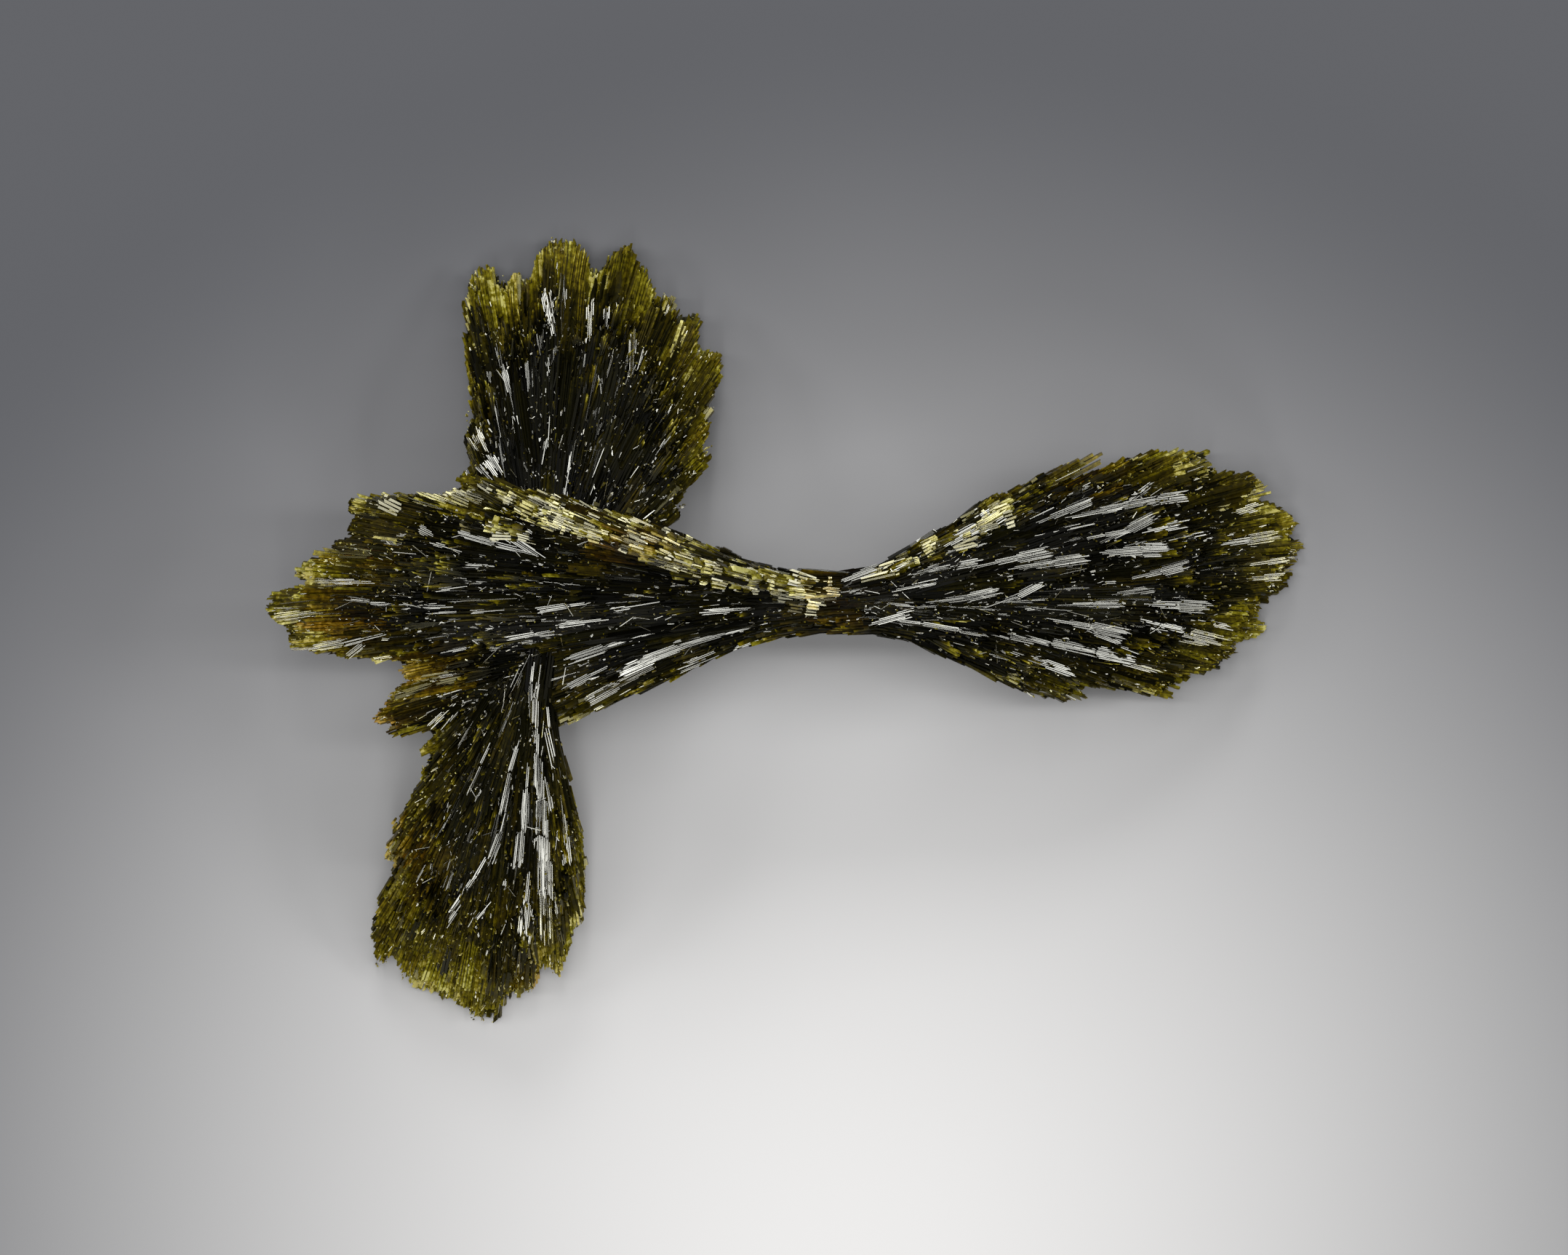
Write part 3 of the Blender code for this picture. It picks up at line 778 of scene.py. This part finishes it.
def stain(bundles):
    """How near each bundle is to a stained place, from 0 to 1."""
    middle = bundles.fan.middle(bundles.distance, bundles.share)[:, :2]
    near = np.zeros(len(bundles))
    for pixel, radius in AMBER:
        centre = (np.array(pixel) - PHOTO_ORIGIN) / PIXELS_PER_MM * (1.0, -1.0)
        near += np.exp(-(np.linalg.norm(middle - centre, axis=1) / radius) ** 2)
    return np.minimum(near, 1.0)


def amber(bundles):
    """How amber each bundle is, from 0 to 1: a little at random, and more near the stained places."""
    return chance.uniform(0.0, 0.25, len(bundles)) + 0.6 * stain(bundles)


def patches(fan, distance, share, size):
    """Even noise about 0 over a fan, at most 1 either way, in patches some millimetres across."""
    return np.array([noise.noise(Vector(point / size)) for point in fan.middle(distance, share)])


def constant(bundles, value):
    return np.full(len(bundles), value)


def lengths(count, median, spread, limits=(0.0, np.inf)):
    """Many short lengths and a few long ones, in millimetres."""
    return np.clip(chance.lognormal(math.log(median), spread, count), *limits)


FELT_PER_MM2 = {1: 2.3, -1: 1.2}
FELT_RIM_MARGIN = 0.5
FELT_RIM_BAND = 6.0
FELT_PATCH = 2.6
etched = bladed_epidote("etched epidote blades, dull", dull=0.48, glossy=0.32, specular=0.03,
                        bump_height=0.012)


def felt_shortening(fan, distance, share):
    """Felt is shorter at the rim, along the curved edges near the waist, and at the very edge."""
    at_rim = 0.55 + 0.45 * smooth((fan.reach(share) - distance) / FELT_RIM_BAND)
    at_waist = 1.0 - 0.65 * share ** 2 * (1.0 - smooth((distance - 3.0) / 9.0))
    return at_rim * at_waist * (1.0 - 0.5 * share ** 8)


for fan_index, fan in enumerate(FANS):
    groups = []
    for side, density in FELT_PER_MM2.items():
        distance, share = scatter(fan, density, margin=FELT_RIM_MARGIN)
        count = len(distance)
        length = lengths(count, median=5.0, spread=0.3, limits=(2.0, 9.0))
        length *= felt_shortening(fan, distance, share)
        felt = Bundles(fan, distance, share, side, lift=chance.uniform(-0.5, 0.0, count), length=length,
                       count=chance.integers(5, 10, count), width=chance.uniform(0.11, 0.22, count))
        felt.turn(roll=7.0, pitch=3.5, yaw=2.0)
        glow = fan.glow(distance, share) + 0.40 * patches(fan, distance, share, FELT_PATCH)
        glow += 0.3 * stain(felt)
        groups.append(felt.blades(
            glow=glow + chance.normal(0.0, 0.05, count), gloss=chance.uniform(0.0, 0.35, count),
            tint=amber(felt), uneven=0.06,
        ))
    grow(f"{fan.name}_dull_blades", joined(groups), etched, fan_index)


# The bright bundles
# Here and there a bundle stands proud with clean, flat, glassy faces, all in one plane, and shines white
# like a strip of satin, cracked across. Each is narrow towards the waist and spreads towards its ragged
# tip. The main ones are placed by their two ends in the photograph, in pixels, with their width in
# millimetres.
STREAKS = {
    "right_fan": [
        (1286, 756, 1394, 693, 1.4), (1335, 781, 1453, 756, 0.7), (1384, 783, 1502, 766, 0.8),
        (1419, 722, 1507, 685, 0.6), (1488, 707, 1640, 680, 0.7), (1502, 751, 1596, 705, 0.7),
        (1507, 761, 1625, 754, 1.0), (1664, 751, 1763, 734, 0.7), (1709, 778, 1787, 766, 0.4),
        (1713, 796, 1787, 791, 0.5), (1551, 796, 1640, 774, 0.7), (1267, 830, 1384, 810, 0.6),
        (1350, 837, 1443, 796, 0.5), (1448, 832, 1551, 830, 0.5), (1571, 830, 1669, 835, 0.9),
        (1433, 850, 1561, 874, 0.7), (1374, 869, 1571, 909, 0.9), (1561, 850, 1689, 884, 0.7),
        (1384, 894, 1483, 928, 0.6), (1154, 800, 1217, 766, 0.7), (1193, 859, 1262, 840, 0.6),
        (1463, 712, 1551, 695, 0.5), (1542, 697, 1591, 661, 0.5), (1566, 732, 1640, 717, 0.6),
        (1527, 818, 1596, 808, 0.5), (1247, 791, 1355, 771, 0.5), (1694, 707, 1738, 693, 0.6),
        (1200, 800, 1290, 745, 0.4), (1211, 850, 1364, 874, 0.4), (1480, 890, 1600, 925, 0.5),
        (1421, 737, 1509, 717, 0.3), (1493, 802, 1542, 800, 0.2), (1393, 840, 1429, 836, 0.2),
        (1493, 866, 1574, 898, 0.5), (1542, 862, 1663, 886, 0.4), (1328, 864, 1437, 886, 0.3),
        (1320, 890, 1393, 908, 0.2), (1252, 790, 1296, 777, 0.4), (1219, 814, 1296, 798, 0.4),
        (1598, 745, 1660, 732, 0.3), (1640, 850, 1700, 865, 0.4), (1470, 745, 1560, 728, 0.3),
    ],
    "left_fan": [
        (843, 825, 729, 841, 0.4), (909, 827, 830, 841, 0.3), (843, 850, 762, 860, 0.4),
        (899, 869, 774, 911, 0.7), (1020, 859, 918, 883, 0.4), (1062, 855, 876, 911, 0.6),
        (969, 878, 843, 929, 0.8), (909, 911, 797, 971, 0.9), (755, 771, 667, 715, 0.9),
        (746, 766, 629, 729, 0.7), (625, 834, 541, 836, 0.5), (527, 801, 450, 799, 0.4),
        (536, 873, 420, 892, 0.6), (527, 869, 457, 904, 0.5), (448, 841, 369, 850, 0.6),
        (640, 945, 562, 968, 0.4), (640, 950, 572, 985, 0.4), (642, 955, 586, 1000, 0.4),
        (645, 962, 607, 1004, 0.3), (560, 900, 450, 912, 0.4), (1060, 835, 960, 842, 0.4),
        (650, 805, 596, 812, 0.3), (600, 738, 572, 724, 0.6), (640, 760, 590, 745, 0.3),
        (735, 735, 690, 700, 0.6), (790, 862, 690, 880, 0.3), (860, 905, 770, 950, 0.4),
        (1000, 900, 930, 925, 0.4), (560, 832, 470, 822, 0.3), (880, 940, 800, 985, 0.3),
        (1150, 868, 1060, 880, 0.3), (700, 838, 640, 842, 0.3), (990, 893, 925, 920, 0.4),
        (920, 930, 850, 958, 0.4), (1090, 872, 1000, 895, 0.3),
    ],
    "upper_fan": [
        (762, 468, 748, 393, 0.7), (809, 472, 811, 409, 0.5), (832, 454, 834, 419, 0.4),
        (867, 523, 871, 442, 0.5), (755, 514, 751, 490, 0.3), (715, 591, 690, 495, 0.5),
        (827, 547, 824, 509, 0.3), (692, 655, 672, 622, 0.5), (674, 624, 656, 596, 0.5),
        (688, 662, 664, 628, 0.5), (666, 630, 646, 602, 0.5), (680, 664, 656, 640, 0.4),
        (658, 640, 640, 612, 0.4), (668, 612, 656, 584, 0.4), (664, 580, 655, 545, 0.3),
        (718, 592, 704, 565, 0.3), (680, 430, 674, 412, 0.3), (745, 640, 752, 600, 0.3),
    ],
    "lower_fan": [
        (744, 1040, 742, 1200, 1.1), (742, 1150, 744, 1300, 1.5), (740, 961, 738, 1105, 0.6),
        (722, 982, 690, 1126, 0.5), (722, 1080, 712, 1200, 0.6), (728, 1190, 718, 1290, 0.7),
        (708, 1080, 669, 1196, 0.5), (690, 1140, 613, 1262, 0.4), (771, 1090, 782, 1196, 0.5),
        (750, 1062, 761, 1133, 0.4), (733, 1248, 722, 1301, 0.8), (676, 1238, 652, 1266, 0.3),
        (620, 1090, 615, 1118, 0.2), (596, 1171, 592, 1199, 0.2), (641, 1234, 610, 1276, 0.3),
        (752, 1120, 752, 1240, 0.7), (730, 1010, 722, 1150, 0.4), (745, 905, 735, 1010, 0.5),
        (752, 930, 762, 1060, 0.4), (738, 880, 728, 990, 0.3), (690, 990, 640, 1100, 0.2),
    ],
}
BRIGHT_PER_MM2 = {"right_fan": 0.55, "left_fan": 0.50, "upper_fan": 0.50, "lower_fan": 0.55}
SHEEN = {"right_fan": 0.75, "left_fan": 0.75, "upper_fan": 1.0, "lower_fan": 1.0}
LATH_LENGTH = 3.0
LATH_WIDTH = 0.09
LATH_OVERLAP = 0.12
STREAK_OPENING, STREAK_GAIN = 0.22, 0.62
STREAK_LIFT = 0.35
STREAK_RIM_BAND = 7.0
BRIGHT_RIM_MARGIN = 0.6
glassy = bladed_epidote("clean epidote blades, glassy", dull=0.32, glossy=0.12, specular=0.65,
                        bump_height=0.003, reflected="#fafaf0")


def laths(fan, streaks):
    """Bundles laid end to end along each streak, which gains blades towards its tip. Also gives which of
    them open and close a streak."""
    rows = []
    streaks = np.array(streaks)
    start, start_share = fan.find(streaks[:, :2])
    end, end_share = fan.find(streaks[:, 2:4])
    for index, width in enumerate(streaks[:, 4]):
        run, drift = end[index] - start[index], end_share[index] - start_share[index]
        pieces = max(int(round(run / LATH_LENGTH)), 1)
        for piece in range(pieces):
            first, last = piece / pieces, min((piece + 1.0 + LATH_OVERLAP) / pieces, 1.0)
            fullness = STREAK_OPENING + STREAK_GAIN * (piece + 1.0) / pieces
            rows.append((start[index] + first * run, start_share[index] + first * drift,
                         start[index] + last * run, start_share[index] + last * drift,
                         max(int(round(width / LATH_WIDTH * fullness)), 2),
                         piece == 0, piece == pieces - 1))
    first, first_share, last, last_share, blade_count, opens, closes = np.array(rows).T
    for distance, share in ((first, first_share), (last, last_share)):
        room = 1.0 - 0.6 * blade_count * LATH_WIDTH / fan.half_width(np.maximum(distance, 0.0), share)
        np.clip(share, -room, room, out=share)
    last = np.minimum(last, fan.reach(last_share) - 0.1)
    first = np.minimum(first, last - 0.5)
    lift = STREAK_LIFT + chance.uniform(-0.08, 0.08, len(rows))
    laid = Bundles(fan, (first + last) / 2.0, (first_share + last_share) / 2.0, 1, lift, last - first,
                   blade_count.astype(int), np.full(len(rows), LATH_WIDTH))
    return laid.aim(first, first_share, last, last_share, lift), opens, closes


for fan_index, fan in enumerate(FANS):
    placed, opens, closes = laths(fan, STREAKS[fan.name])
    placed.turn_to_lights(limit=55.0, spread=0.5, tilt=27.0)
    # Near the rim the streaks are painted lighter, as if light came through them.
    near_rim = 1.0 - smooth((fan.reach(placed.share) - placed.distance) / STREAK_RIM_BAND)
    groups = [placed.blades(
        glow=1.2 * fan.glow(placed.distance, placed.share) + 0.3 * near_rim, gloss=constant(placed, 0.6),
        tint=constant(placed, 0.1), sheen=SHEEN[fan.name], gap=1.25, wedge=0.1 + 0.35 * opens,
        ragged=(0.05 + 0.12 * opens, 0.04 + 0.25 * closes), wander=0.5, flutter=1.2,
    )]
    for side in (1, -1):
        distance, share = scatter(fan, BRIGHT_PER_MM2[fan.name], margin=BRIGHT_RIM_MARGIN)
        count = len(distance)
        length = lengths(count, median=2.4, spread=0.5, limits=(0.7, 7.0))
        loose = Bundles(fan, distance, share, side, lift=chance.uniform(-0.05, 0.3, count), length=length,
                        count=chance.integers(1, 5, count), width=chance.uniform(0.04, 0.09, count))
        loose.turn(roll=6.0, pitch=4.0, yaw=3.0).turn_to_lights(limit=22.0, spread=1.3, part=0.35)
        groups.append(loose.blades(
            glow=fan.glow(distance, share) + 0.05, gloss=chance.uniform(0.3, 0.8, count),
            tint=chance.uniform(0.0, 0.3, count), sheen=0.6, gap=1.3, fan_out=1.0, wedge=0.3,
            overhang=(-0.6, -0.1),
        ))
    grow(f"{fan.name}_bright_bundles", joined(groups), glassy, 10 + fan_index)


# The stepped crest of the left fan, and the ledges
# Along the left fan's upper side the crystals end one behind another in small blocks, like a flight of
# steps, with cream to white faces. Elsewhere single shelves end early, in tips painted yellow-green with the
# light that comes through them. A crest line is given in pixels, with the spread of its blocks in millimetres
# and their number per square millimetre.
CREST_LINES = [
    ([(1130, 812), (1060, 798), (960, 768), (880, 740), (800, 714), (730, 690)], 1.2, 7.5),
    ([(1120, 820), (1040, 806), (960, 790), (900, 772)], 0.5, 8.0),
    ([(790, 712), (730, 692), (670, 676), (620, 690)], 0.8, 6.0),
    ([(720, 745), (680, 722), (640, 716)], 0.7, 6.0),
    ([(1150, 795), (1090, 779), (1000, 757), (935, 740)], 0.4, 6.0),
    ([(1185, 800), (1270, 762)], 0.4, 4.0), ([(1270, 760), (1330, 728), (1392, 698)], 0.7, 6.0),
    ([(690, 682), (620, 682), (540, 690), (490, 690)], 0.5, 3.5),
]
LEDGE_LINES = {
    "left_fan": [
        [(524, 838), (538, 851), (548, 868)], [(518, 782), (552, 776), (590, 774)],
        [(640, 690), (660, 730)], [(610, 880), (606, 915), (628, 950)],
        [(600, 740), (575, 790), (570, 830)], [(650, 800), (648, 850), (660, 900)],
        [(700, 780), (712, 800)], [(1120, 868), (1178, 874)], [(660, 690), (720, 700), (790, 720)],
        [(470, 700), (520, 690)], [(1120, 880), (1000, 903), (900, 945), (830, 972)],
    ],
    "right_fan": [
        [(1600, 690), (1640, 740), (1650, 800)], [(1540, 660), (1580, 700)], [(1700, 800), (1690, 850)],
        [(1560, 900), (1640, 880)], [(1400, 900), (1460, 930)], [(1420, 690), (1470, 660)],
        [(1680, 700), (1700, 760)], [(1250, 770), (1300, 740)], [(1330, 900), (1370, 910)],
    ],
    "upper_fan": [
        [(700, 400), (760, 390)], [(830, 400), (880, 420)], [(900, 480), (940, 520)],
        [(640, 450), (660, 520)], [(800, 520), (820, 500)], [(930, 560), (950, 620)],
        [(720, 440), (690, 430)],
    ],
    "lower_fan": [
        [(560, 1150), (620, 1180)], [(600, 1250), (660, 1260)], [(580, 1060), (620, 1090)],
        [(700, 1300), (740, 1310)], [(640, 1120), (660, 1150)], [(560, 1250), (590, 1290)],
        [(770, 1180), (785, 1230)], [(650, 1010), (640, 1050)],
    ],
}
clean = bladed_epidote("clean epidote blocks, glassy", dull=0.30, glossy=0.12, specular=0.60,
                       bump_height=0.003, reflected="#f2eecc")
tipped = bladed_epidote("epidote ledges with light tips", dull=0.42, glossy=0.25, specular=0.06,
                        bump_height=0.006, reflected="#f2eecc", root_light=0.05)


def along_line(fan, line, spread, count):
    """Distances and shares at random places along a line of pixels, within some millimetres of it."""
    line = np.array(line, float)
    walked = np.concatenate([[0.0], np.cumsum(np.linalg.norm(np.diff(line, axis=0), axis=1))])
    stops = chance.uniform(0.0, walked[-1], count)
    places = np.column_stack([np.interp(stops, walked, line[:, axis]) for axis in (0, 1)])
    places += chance.normal(0.0, 0.5 * spread * PIXELS_PER_MM, places.shape)
    return fan.find(places)


def line_length(line):
    return np.linalg.norm(np.diff(np.array(line, float), axis=0), axis=1).sum() / PIXELS_PER_MM


BLOCK_EDGE_SHARE = 0.96
groups = []
for line, spread, per_mm2 in CREST_LINES:
    fan = RIGHT if line[0][0] < line[-1][0] else LEFT
    distance, share = along_line(fan, line, spread, int(per_mm2 * 2.0 * spread * line_length(line)))
    distance, share = (values[np.abs(share) < BLOCK_EDGE_SHARE] for values in (distance, share))
    count = len(distance)
    blocks = Bundles(fan, distance, share, 1, lift=chance.uniform(0.0, 0.6, count),
                     length=lengths(count, median=1.1, spread=0.5, limits=(0.35, 3.2)),
                     count=chance.integers(1, 6, count), width=chance.uniform(0.08, 0.24, count))
    blocks.turn(roll=7.0, pitch=6.0, yaw=4.0, swing=-5.0)
    blocks.turn_to_lights(limit=55.0, spread=1.2, part=0.6, tilt=15.0)
    groups.append(blocks.blades(
        glow=chance.uniform(0.2, 1.0, count), gloss=chance.uniform(0.3, 0.8, count),
        tint=0.7 * amber(blocks), gap=1.1, ragged=(0.15, 0.25), depth=0.4, crown=0.05, uneven=0.12,
    ))
grow("stepped_crest", joined(groups), clean, 40)

LEDGES_PER_MM = 4.0
LEDGE_SPREAD = 0.7
LOOSE_LEDGES_PER_MM2 = 0.16
LEDGE_RIM_MARGIN = 2.0
LEDGE_RIM_BAND = 8.0
for fan_index, fan in enumerate(FANS):
    groups = [along_line(fan, line, LEDGE_SPREAD, int(LEDGES_PER_MM * line_length(line)) + 2)
              for line in LEDGE_LINES[fan.name]]
    distance, share = scatter(fan, LOOSE_LEDGES_PER_MM2, margin=LEDGE_RIM_MARGIN)
    likely = 0.25 + 0.75 * (1.0 - smooth((fan.reach(share) - distance) / LEDGE_RIM_BAND))
    kept = chance.uniform(0.0, 1.0, len(distance)) < likely
    groups.append((distance[kept], share[kept]))
    distance, share = (np.concatenate(values) for values in zip(*groups))
    count = len(distance)
    length = chance.uniform(1.0, 3.5, count)
    ledges = Bundles(fan, distance - 0.5 * length, share, 1, lift=chance.uniform(0.1, 0.4, count),
                     length=length, count=chance.integers(2, 7, count),
                     width=chance.uniform(0.05, 0.12, count))
    ledges.turn(roll=8.0, pitch=6.0, yaw=4.0)
    grow(f"{fan.name}_ledges", ledges.blades(
        glow=chance.uniform(0.2, 0.75, count), gloss=chance.uniform(0.2, 0.8, count), tint=amber(ledges),
        gap=1.05, fan_out=3.0, crown=0.2, uneven=0.15,
    ), tipped, 50 + fan_index)


# The rim lobes
# Each fan ends in thin lobes of fused blades, ragged at the crown. The light that comes through them is painted
# into their colour, olive to yellow-green. They stand in three layers through the thickness of the rim. The
# paddles that stand out of the outline are placed by their tips in the photograph, in pixels, with their width
# in millimetres.
LOBE_STEP = 0.9
LOBE_LAYERS = (0.8, 0.15, -0.6)
PADDLES = {
    "upper_fan": [
        (666, 342, 1.0), (654, 352, 0.8), (708, 354, 0.6), (783, 312, 0.9), (770, 322, 1.3),
        (876, 341, 0.4), (858, 350, 1.2), (842, 356, 0.8), (925, 386, 0.4), (968, 415, 1.1),
        (955, 425, 0.9), (1004, 479, 1.0), (985, 484, 0.9), (990, 540, 0.8), (980, 584, 0.9),
        (632, 393, 0.8), (630, 430, 0.8), (648, 528, 0.7), (628, 572, 0.9), (635, 603, 0.8),
        (655, 655, 0.6), (727, 358, 0.6), (900, 370, 0.8),
    ],
    "right_fan": [
        (1738, 652, 1.2), (1720, 645, 0.9), (1764, 668, 1.1), (1782, 695, 1.2), (1804, 742, 1.3),
        (1796, 790, 0.9), (1743, 845, 1.3), (1735, 865, 0.9), (1691, 900, 1.2), (1642, 925, 1.0),
        (1602, 955, 1.3), (1560, 952, 1.0), (1483, 967, 1.0), (1683, 628, 1.3), (1650, 615, 1.2),
        (1620, 612, 1.0), (1530, 618, 1.3), (1505, 624, 1.2), (1410, 950, 0.9), (1790, 715, 1.0),
    ],
    "left_fan": [
        (472, 688, 1.4), (500, 682, 1.0), (363, 832, 1.3), (366, 850, 1.0), (425, 762, 1.3),
        (445, 755, 1.0), (458, 900, 1.2), (400, 880, 1.2), (521, 980, 1.0), (535, 1010, 1.1),
        (545, 905, 1.2), (575, 690, 1.0),
    ],
    "lower_fan": [
        (526, 1178, 1.2), (508, 1262, 1.2), (503, 1325, 1.3), (540, 1350, 1.2), (603, 1400, 1.2),
        (631, 1408, 1.1), (676, 1402, 1.1), (727, 1383, 1.0), (768, 1355, 1.2), (796, 1300, 1.1),
        (808, 1231, 1.1), (806, 1160, 1.0), (575, 1370, 1.2), (655, 1405, 0.9),
    ],
}
PADDLE_BLADE_WIDTH = 0.24
thin = bladed_epidote("thin pistachio epidote, semi-gloss", dull=0.38, glossy=0.15, specular=0.24,
                      bump_height=0.004, reflected="#eee8b0")
LOBE_EDGE_SHARE = 0.97
PADDLE_EDGE_SHARE = 0.93
PADDLE_OVERHANG = 2.6


def lobes_in_layer(fan, layer, level):
    """Seeds of the lobes along a fan's whole rim, at a level from 1 at its front to -1 at its back."""
    shares = np.linspace(-LOBE_EDGE_SHARE, LOBE_EDGE_SHARE, 400)
    rim = fan.middle(fan.reach(shares), shares)
    walked = np.concatenate([[0.0], np.cumsum(np.linalg.norm(np.diff(rim[:, :2], axis=0), axis=1))])
    stops = np.arange(0.3 + 0.35 * layer, walked[-1], LOBE_STEP)
    stops = np.clip(stops + chance.normal(0.0, 0.25, len(stops)), 0.0, walked[-1])
    share = np.interp(stops, walked, shares)
    count = len(share)
    length = chance.uniform(1.6, 4.6, count)
    distance = fan.reach(share) + chance.uniform(-1.2, 0.3, count) - length / 2.0
    lift = (abs(level) - 1.0) * fan.half_thickness(distance + length / 2.0, share)
    lobes = Bundles(fan, distance, share, 1 if level > 0 else -1, lift, length,
                    count=chance.integers(3, 8, count), width=chance.uniform(0.18, 0.36, count))
    lobes.turn(roll=10.0, pitch=4.0, yaw=3.0).turn_to_lights(limit=30.0, spread=4.0, part=0.35, tilt=12.0)
    # Lobes turned to mirror a softbox are also painted lighter: a painted highlight.
    glow = chance.uniform(0.15, 0.68, count) + 0.25 * lobes.shining
    return lobes.blades(
        glow=glow * (0.4 + 0.6 * smooth(distance / 12.0)), gloss=chance.uniform(0.3, 0.9, count),
        tint=0.7 * amber(lobes), gap=0.96, fan_out=2.0, crown=0.18, ragged=(0.15, 0.18), uneven=0.06,
        overhang=(-0.5, 0.1),
    )


def paddles_at(fan, tips):
    """Seeds of the paddles whose tips are given in pixels, with their widths."""
    tips = np.array(tips)
    tip, share = fan.find(tips[:, :2])
    share = np.clip(share, -PADDLE_EDGE_SHARE, PADDLE_EDGE_SHARE)
    tip = np.minimum(tip, fan.reach(share) + PADDLE_OVERHANG)
    blade_count = np.maximum(np.round(tips[:, 2] / PADDLE_BLADE_WIDTH), 2).astype(int)
    count = len(tip)
    length = chance.uniform(2.8, 4.2, count)
    paddles = Bundles(fan, tip - 0.5 * length, share, 1, lift=chance.uniform(-0.25, 0.1, count),
                      length=length, count=blade_count, width=constant(tip, PADDLE_BLADE_WIDTH))
    paddles.turn(roll=6.0, pitch=1.0, yaw=2.0).turn_to_lights(limit=30.0, spread=2.0, part=0.4, tilt=10.0)
    # Paddles turned to mirror a softbox are also painted lighter: a painted highlight.
    return paddles.blades(
        glow=chance.uniform(0.45, 0.72, count) + 0.2 * paddles.shining,
        gloss=chance.uniform(0.4, 0.9, count), tint=0.5 * amber(paddles), gap=0.93, fan_out=2.0, crown=0.12,
        ragged=(0.1, 0.2), uneven=0.05, overhang=(4.0, 4.1),
    )


for fan_index, fan in enumerate(FANS):
    groups = [lobes_in_layer(fan, layer, level) for layer, level in enumerate(LOBE_LAYERS)]
    groups.append(paddles_at(fan, PADDLES[fan.name]))
    grow(f"{fan.name}_rim_lobes", joined(groups), thin, 20 + fan_index)


# Chips, grains and loose needles
# Broken bits of blade, small stubby crystals and hair-thin needles lie all over the fans, some across the
# growth. The chips and needles glint white, and the grains are painted yellow-green with light coming through
# them. The back has fewer of them.
CHIPS_PER_MM2 = 3.8
RIM_CHIPS_PER_MM2 = 3.5
CHIP_RIM_MARGIN = 0.3
CHIP_RIM_BAND = 5.0
GRAINS_PER_MM2 = 3.2
NEEDLES_PER_MM2 = 0.15
NEEDLE_RIM_MARGIN = 3.5
EDGE_SHARE = 0.97
NEEDLE_EDGE_SHARE = 0.8
PART_ON_SIDE = {1: 1.0, -1: 0.4}


def chips_on(fan, side, part):
    """Seeds of broken bits of blade, of which more lie near the rim."""
    distance, share = scatter(fan, CHIPS_PER_MM2 * part, margin=CHIP_RIM_MARGIN)
    at_rim, at_rim_share = scatter(fan, RIM_CHIPS_PER_MM2 * part, margin=CHIP_RIM_MARGIN)
    likely = 1.0 - smooth((fan.reach(at_rim_share) - at_rim) / CHIP_RIM_BAND)
    close = chance.uniform(0.0, 1.0, len(at_rim)) < likely
    distance, share = np.append(distance, at_rim[close]), np.append(share, at_rim_share[close])
    count = len(distance)
    chips = Bundles(fan, distance, EDGE_SHARE * share, side, lift=chance.uniform(0.05, 0.35, count),
                    length=lengths(count, median=0.32, spread=0.5), count=chance.integers(1, 3, count),
                    width=chance.uniform(0.025, 0.075, count))
    chips.turn(roll=9.0, pitch=7.0, yaw=16.0).turn_to_lights(limit=50.0, spread=2.5, part=0.34, tilt=20.0)
    return chips.blades(
        glow=fan.glow(distance, share) + chance.uniform(0.0, 0.45, count),
        gloss=chance.uniform(0.3, 0.9, count), tint=chance.uniform(0.0, 0.3, count), depth=0.08,
        overhang=(-0.5, 0.0),
    )


def grains_on(fan, side, part):
    """Seeds of stubby crystals, turned every way."""
    distance, share = scatter(fan, GRAINS_PER_MM2 * part)
    count = len(distance)
    grains = Bundles(fan, distance, EDGE_SHARE * share, side, lift=chance.uniform(0.0, 0.3, count),
                     length=chance.uniform(0.06, 0.24, count), count=np.ones(count, int),
                     width=chance.uniform(0.04, 0.12, count))
    grains.turn(roll=40.0, pitch=30.0, yaw=60.0)
    return grains.blades(
        glow=np.clip(fan.glow(distance, share) + chance.normal(0.3, 0.2, count), 0.2, 1.0),
        gloss=chance.uniform(0.3, 0.9, count), tint=chance.uniform(0.0, 0.2, count), depth=0.10,
    )


def needles_on(fan, side, part):
    """Seeds of loose needles, away from the rim."""
    distance, share = scatter(fan, NEEDLES_PER_MM2 * part, margin=NEEDLE_RIM_MARGIN)
    count = len(distance)
    needles = Bundles(fan, distance, NEEDLE_EDGE_SHARE * share, side,
                      lift=chance.uniform(0.15, 0.45, count), length=chance.uniform(0.6, 2.4, count),
                      count=np.ones(count, int), width=chance.uniform(0.04, 0.08, count))
    needles.turn(roll=20.0, pitch=6.0, yaw=50.0).turn_to_lights(limit=60.0, spread=2.0, tilt=16.0)
    return needles.blades(
        glow=chance.uniform(0.3, 0.6, count), gloss=chance.uniform(0.5, 0.9, count),
        tint=chance.uniform(0.0, 0.3, count), depth=0.07,
    )


for fan_index, fan in enumerate(FANS):
    groups = [strew(fan, side, part) for side, part in PART_ON_SIDE.items()
              for strew in (chips_on, grains_on, needles_on)]
    grow(f"{fan.name}_chips_and_needles", joined(groups), glassy, 30 + fan_index)
